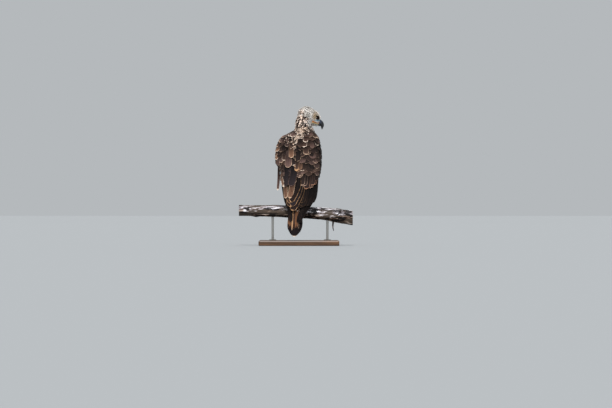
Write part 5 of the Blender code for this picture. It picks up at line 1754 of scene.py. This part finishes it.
def buildLeg(word, scales, horn):
    plan = footSettings
    footX = plan["x"][word]
    mirror = 1 if footX > 0 else -1
    padTop = sum(readTable(branchTable, footX)) + plan["padHeight"]
    wide, long, tall = plan["pad"]

    def pad(t, angle):
        polar = math.pi * (1 - t)
        ripple = 1 + 0.03 * math.sin(7 * angle) * math.sin(polar)
        x = footX + wide * ripple * math.sin(polar) * math.sin(angle)
        y = plan["y"] - long * ripple * math.sin(polar) * math.cos(angle)
        return x, y, padTop + tall * math.cos(polar)

    def shank(t, angle):
        middle = legPoint(footX, mix(0.01, 0.42, t))
        front = max(0.0, -math.cos(angle))
        size = plan["tarsus"] * (1 + 0.24 * (1 - t) ** 3)
        size *= 1 + 0.07 * scuteStep(1 - t, plan["tarsusScutes"]) * front**0.6
        return middle + np.array([size * math.sin(angle), -size * 1.12 * math.cos(angle), 0])

    foot = [(addBall, 16, 24, pad)]
    foot += [(addTube, 60, 20, partial(toePoint, footX, mirror * toe[1], toe[2])) for toe in toes]
    buildRound("foot" + word.capitalize(), foot, scales, ("foot_" + word,), 70)
    leg = [(addTube, 90, 24, shank)]
    buildRound("shank" + word.capitalize(), leg, scales, ("tarsus_" + word,), 70)
    for toe, reach, end, clawEnd in toes:
        claw = (addTube, 22, 18, partial(clawPoint, footX, mirror * reach, end, clawEnd),
                {"along": lambda t, angle: t})
        buildRound("claw" + word.capitalize() + toe.capitalize(), [claw], horn,
                   (f"claw_{word}_{toe}",), 60)


legScales, clawHorn = scaleMaterial(), clawMaterial()
for legWord in ("left", "right"):
    buildLeg(legWord, legScales, clawHorn)
print("legs")


# Stand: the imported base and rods, given their wood and steel

# Oiled walnut: brown with long darker figure along X, its pores 0.4 mm wide drawn twice as wide
def walnutMaterial():
    material, add, place = newMaterial("oiledWalnut")
    figure = add("Mapping", {"Scale": (3.0, 26.0, 26.0), "Vector": place})
    bend = add("TexNoise", {"Scale": 1.0, "Detail": 5.0, "Distortion": 1.2, "Vector": figure})
    fine = add("Mapping", {"Scale": (60.0, 900.0, 900.0), "Vector": place})
    pores = add("TexNoise", {"Scale": 1.0, "Detail": 2.0, "Vector": fine})
    ramp = add("ValToRGB", {0: bend, "ramp": [(0.25, "35210f"), (0.75, "7a5433"), (0.5, "573a21")]})
    tone = add("MapRange", {0: pores, 1: 0.35, 2: 0.65, 3: 0.72, 4: 1.08})
    colour = add("VectorMath", {"operation": "SCALE", 0: ramp, 3: tone})
    rough = add("MapRange", {0: bend, 3: 0.38, 4: 0.55})
    bump = add("Bump", {"Strength": 0.15, "Distance": 0.0003, "Height": pores})
    return dressShader(material, {
        "Base Color": colour, "Roughness": rough, "Normal": bump, "Coat Weight": 0.15, "Coat Roughness": 0.35,
    })


# Brushed stainless steel rod: the brushing runs round it, so its highlight is long and soft
def steelMaterial():
    material, add, place = newMaterial("brushedSteel")
    brushed = add("Mapping", {"Scale": (60.0, 60.0, 2600.0), "Vector": place})
    lines = add("TexNoise", {"Scale": 1.0, "Detail": 2.0, "Vector": brushed})
    rough = add("MapRange", {0: lines, 3: 0.24, 4: 0.46})
    bump = add("Bump", {"Strength": 0.08, "Distance": 0.0001, "Height": lines})
    return dressShader(material, {
        "Base Color": "b9b7b2", "Metallic": 1.0, "Anisotropic": 0.4, "Roughness": rough, "Normal": bump,
    })


walnut, steel = walnutMaterial(), steelMaterial()
standLooks = {"stand_base": walnut, "stand_rod_left": steel, "stand_rod_right": steel}
for standName, standMaterial in standLooks.items():
    for standSlot in nodes[standName].material_slots:
        standSlot.material = standMaterial
print("stand")


# Studio: pale floor, soft light, and a long lens level with the bird's tail, as in the photograph
studio = {
    "floorSize": 60.0, "floorColour": "a5a8aa", "world": "b5b9bc", "worldStrength": 1.0,
    "keyFrom": (-0.02, -0.84, 0.98), "keyStrength": 3.4, "keyAngle": 8.0,
    "distance": 12.0, "frameWidth": 2.907, "cameraX": 0.0333, "cameraZ": 0.197,
}


def buildFloor():
    bm = bmesh.new()
    bmesh.ops.create_grid(bm, x_segments=1, y_segments=1, size=studio["floorSize"] / 2)
    mesh = bpy.data.meshes.new("floor")
    bm.to_mesh(mesh)
    bm.free()
    # Matte paint, so that the floor takes the shadow and gives no reflection
    material = newMaterial("matteFloorPaint")[0]
    mesh.materials.append(dressShader(material, {"Base Color": studio["floorColour"], "Roughness": 0.9}))
    floor = bpy.data.objects.new("floor", mesh)
    scene.collection.objects.link(floor)


def buildLights():
    # One broad, soft key from above and behind the camera; the pale world fills the shadows
    data = bpy.data.lights.new("key", "SUN")
    data.energy, data.angle = studio["keyStrength"], math.radians(studio["keyAngle"])
    light = bpy.data.objects.new("key", data)
    light.rotation_euler = Vector(studio["keyFrom"]).to_track_quat("Z", "Y").to_euler()
    scene.collection.objects.link(light)
    world = bpy.data.worlds.new("studio")
    scene.world = world
    world.use_nodes = True
    sky = world.node_tree.nodes["Background"]
    sky.inputs["Color"].default_value = (*linear(studio["world"]), 1.0)
    sky.inputs["Strength"].default_value = studio["worldStrength"]
    scene.view_settings.view_transform = "Standard"


def buildCamera():
    data = bpy.data.cameras.new("camera")
    data.lens = data.sensor_width * studio["distance"] / studio["frameWidth"]
    data.clip_end = 200.0
    camera = bpy.data.objects.new("camera", data)
    camera.location = (studio["cameraX"], -studio["distance"], studio["cameraZ"])
    camera.rotation_euler = (math.radians(90.0), 0.0, 0.0)
    scene.collection.objects.link(camera)
    scene.camera = camera


buildFloor()
buildLights()
buildCamera()
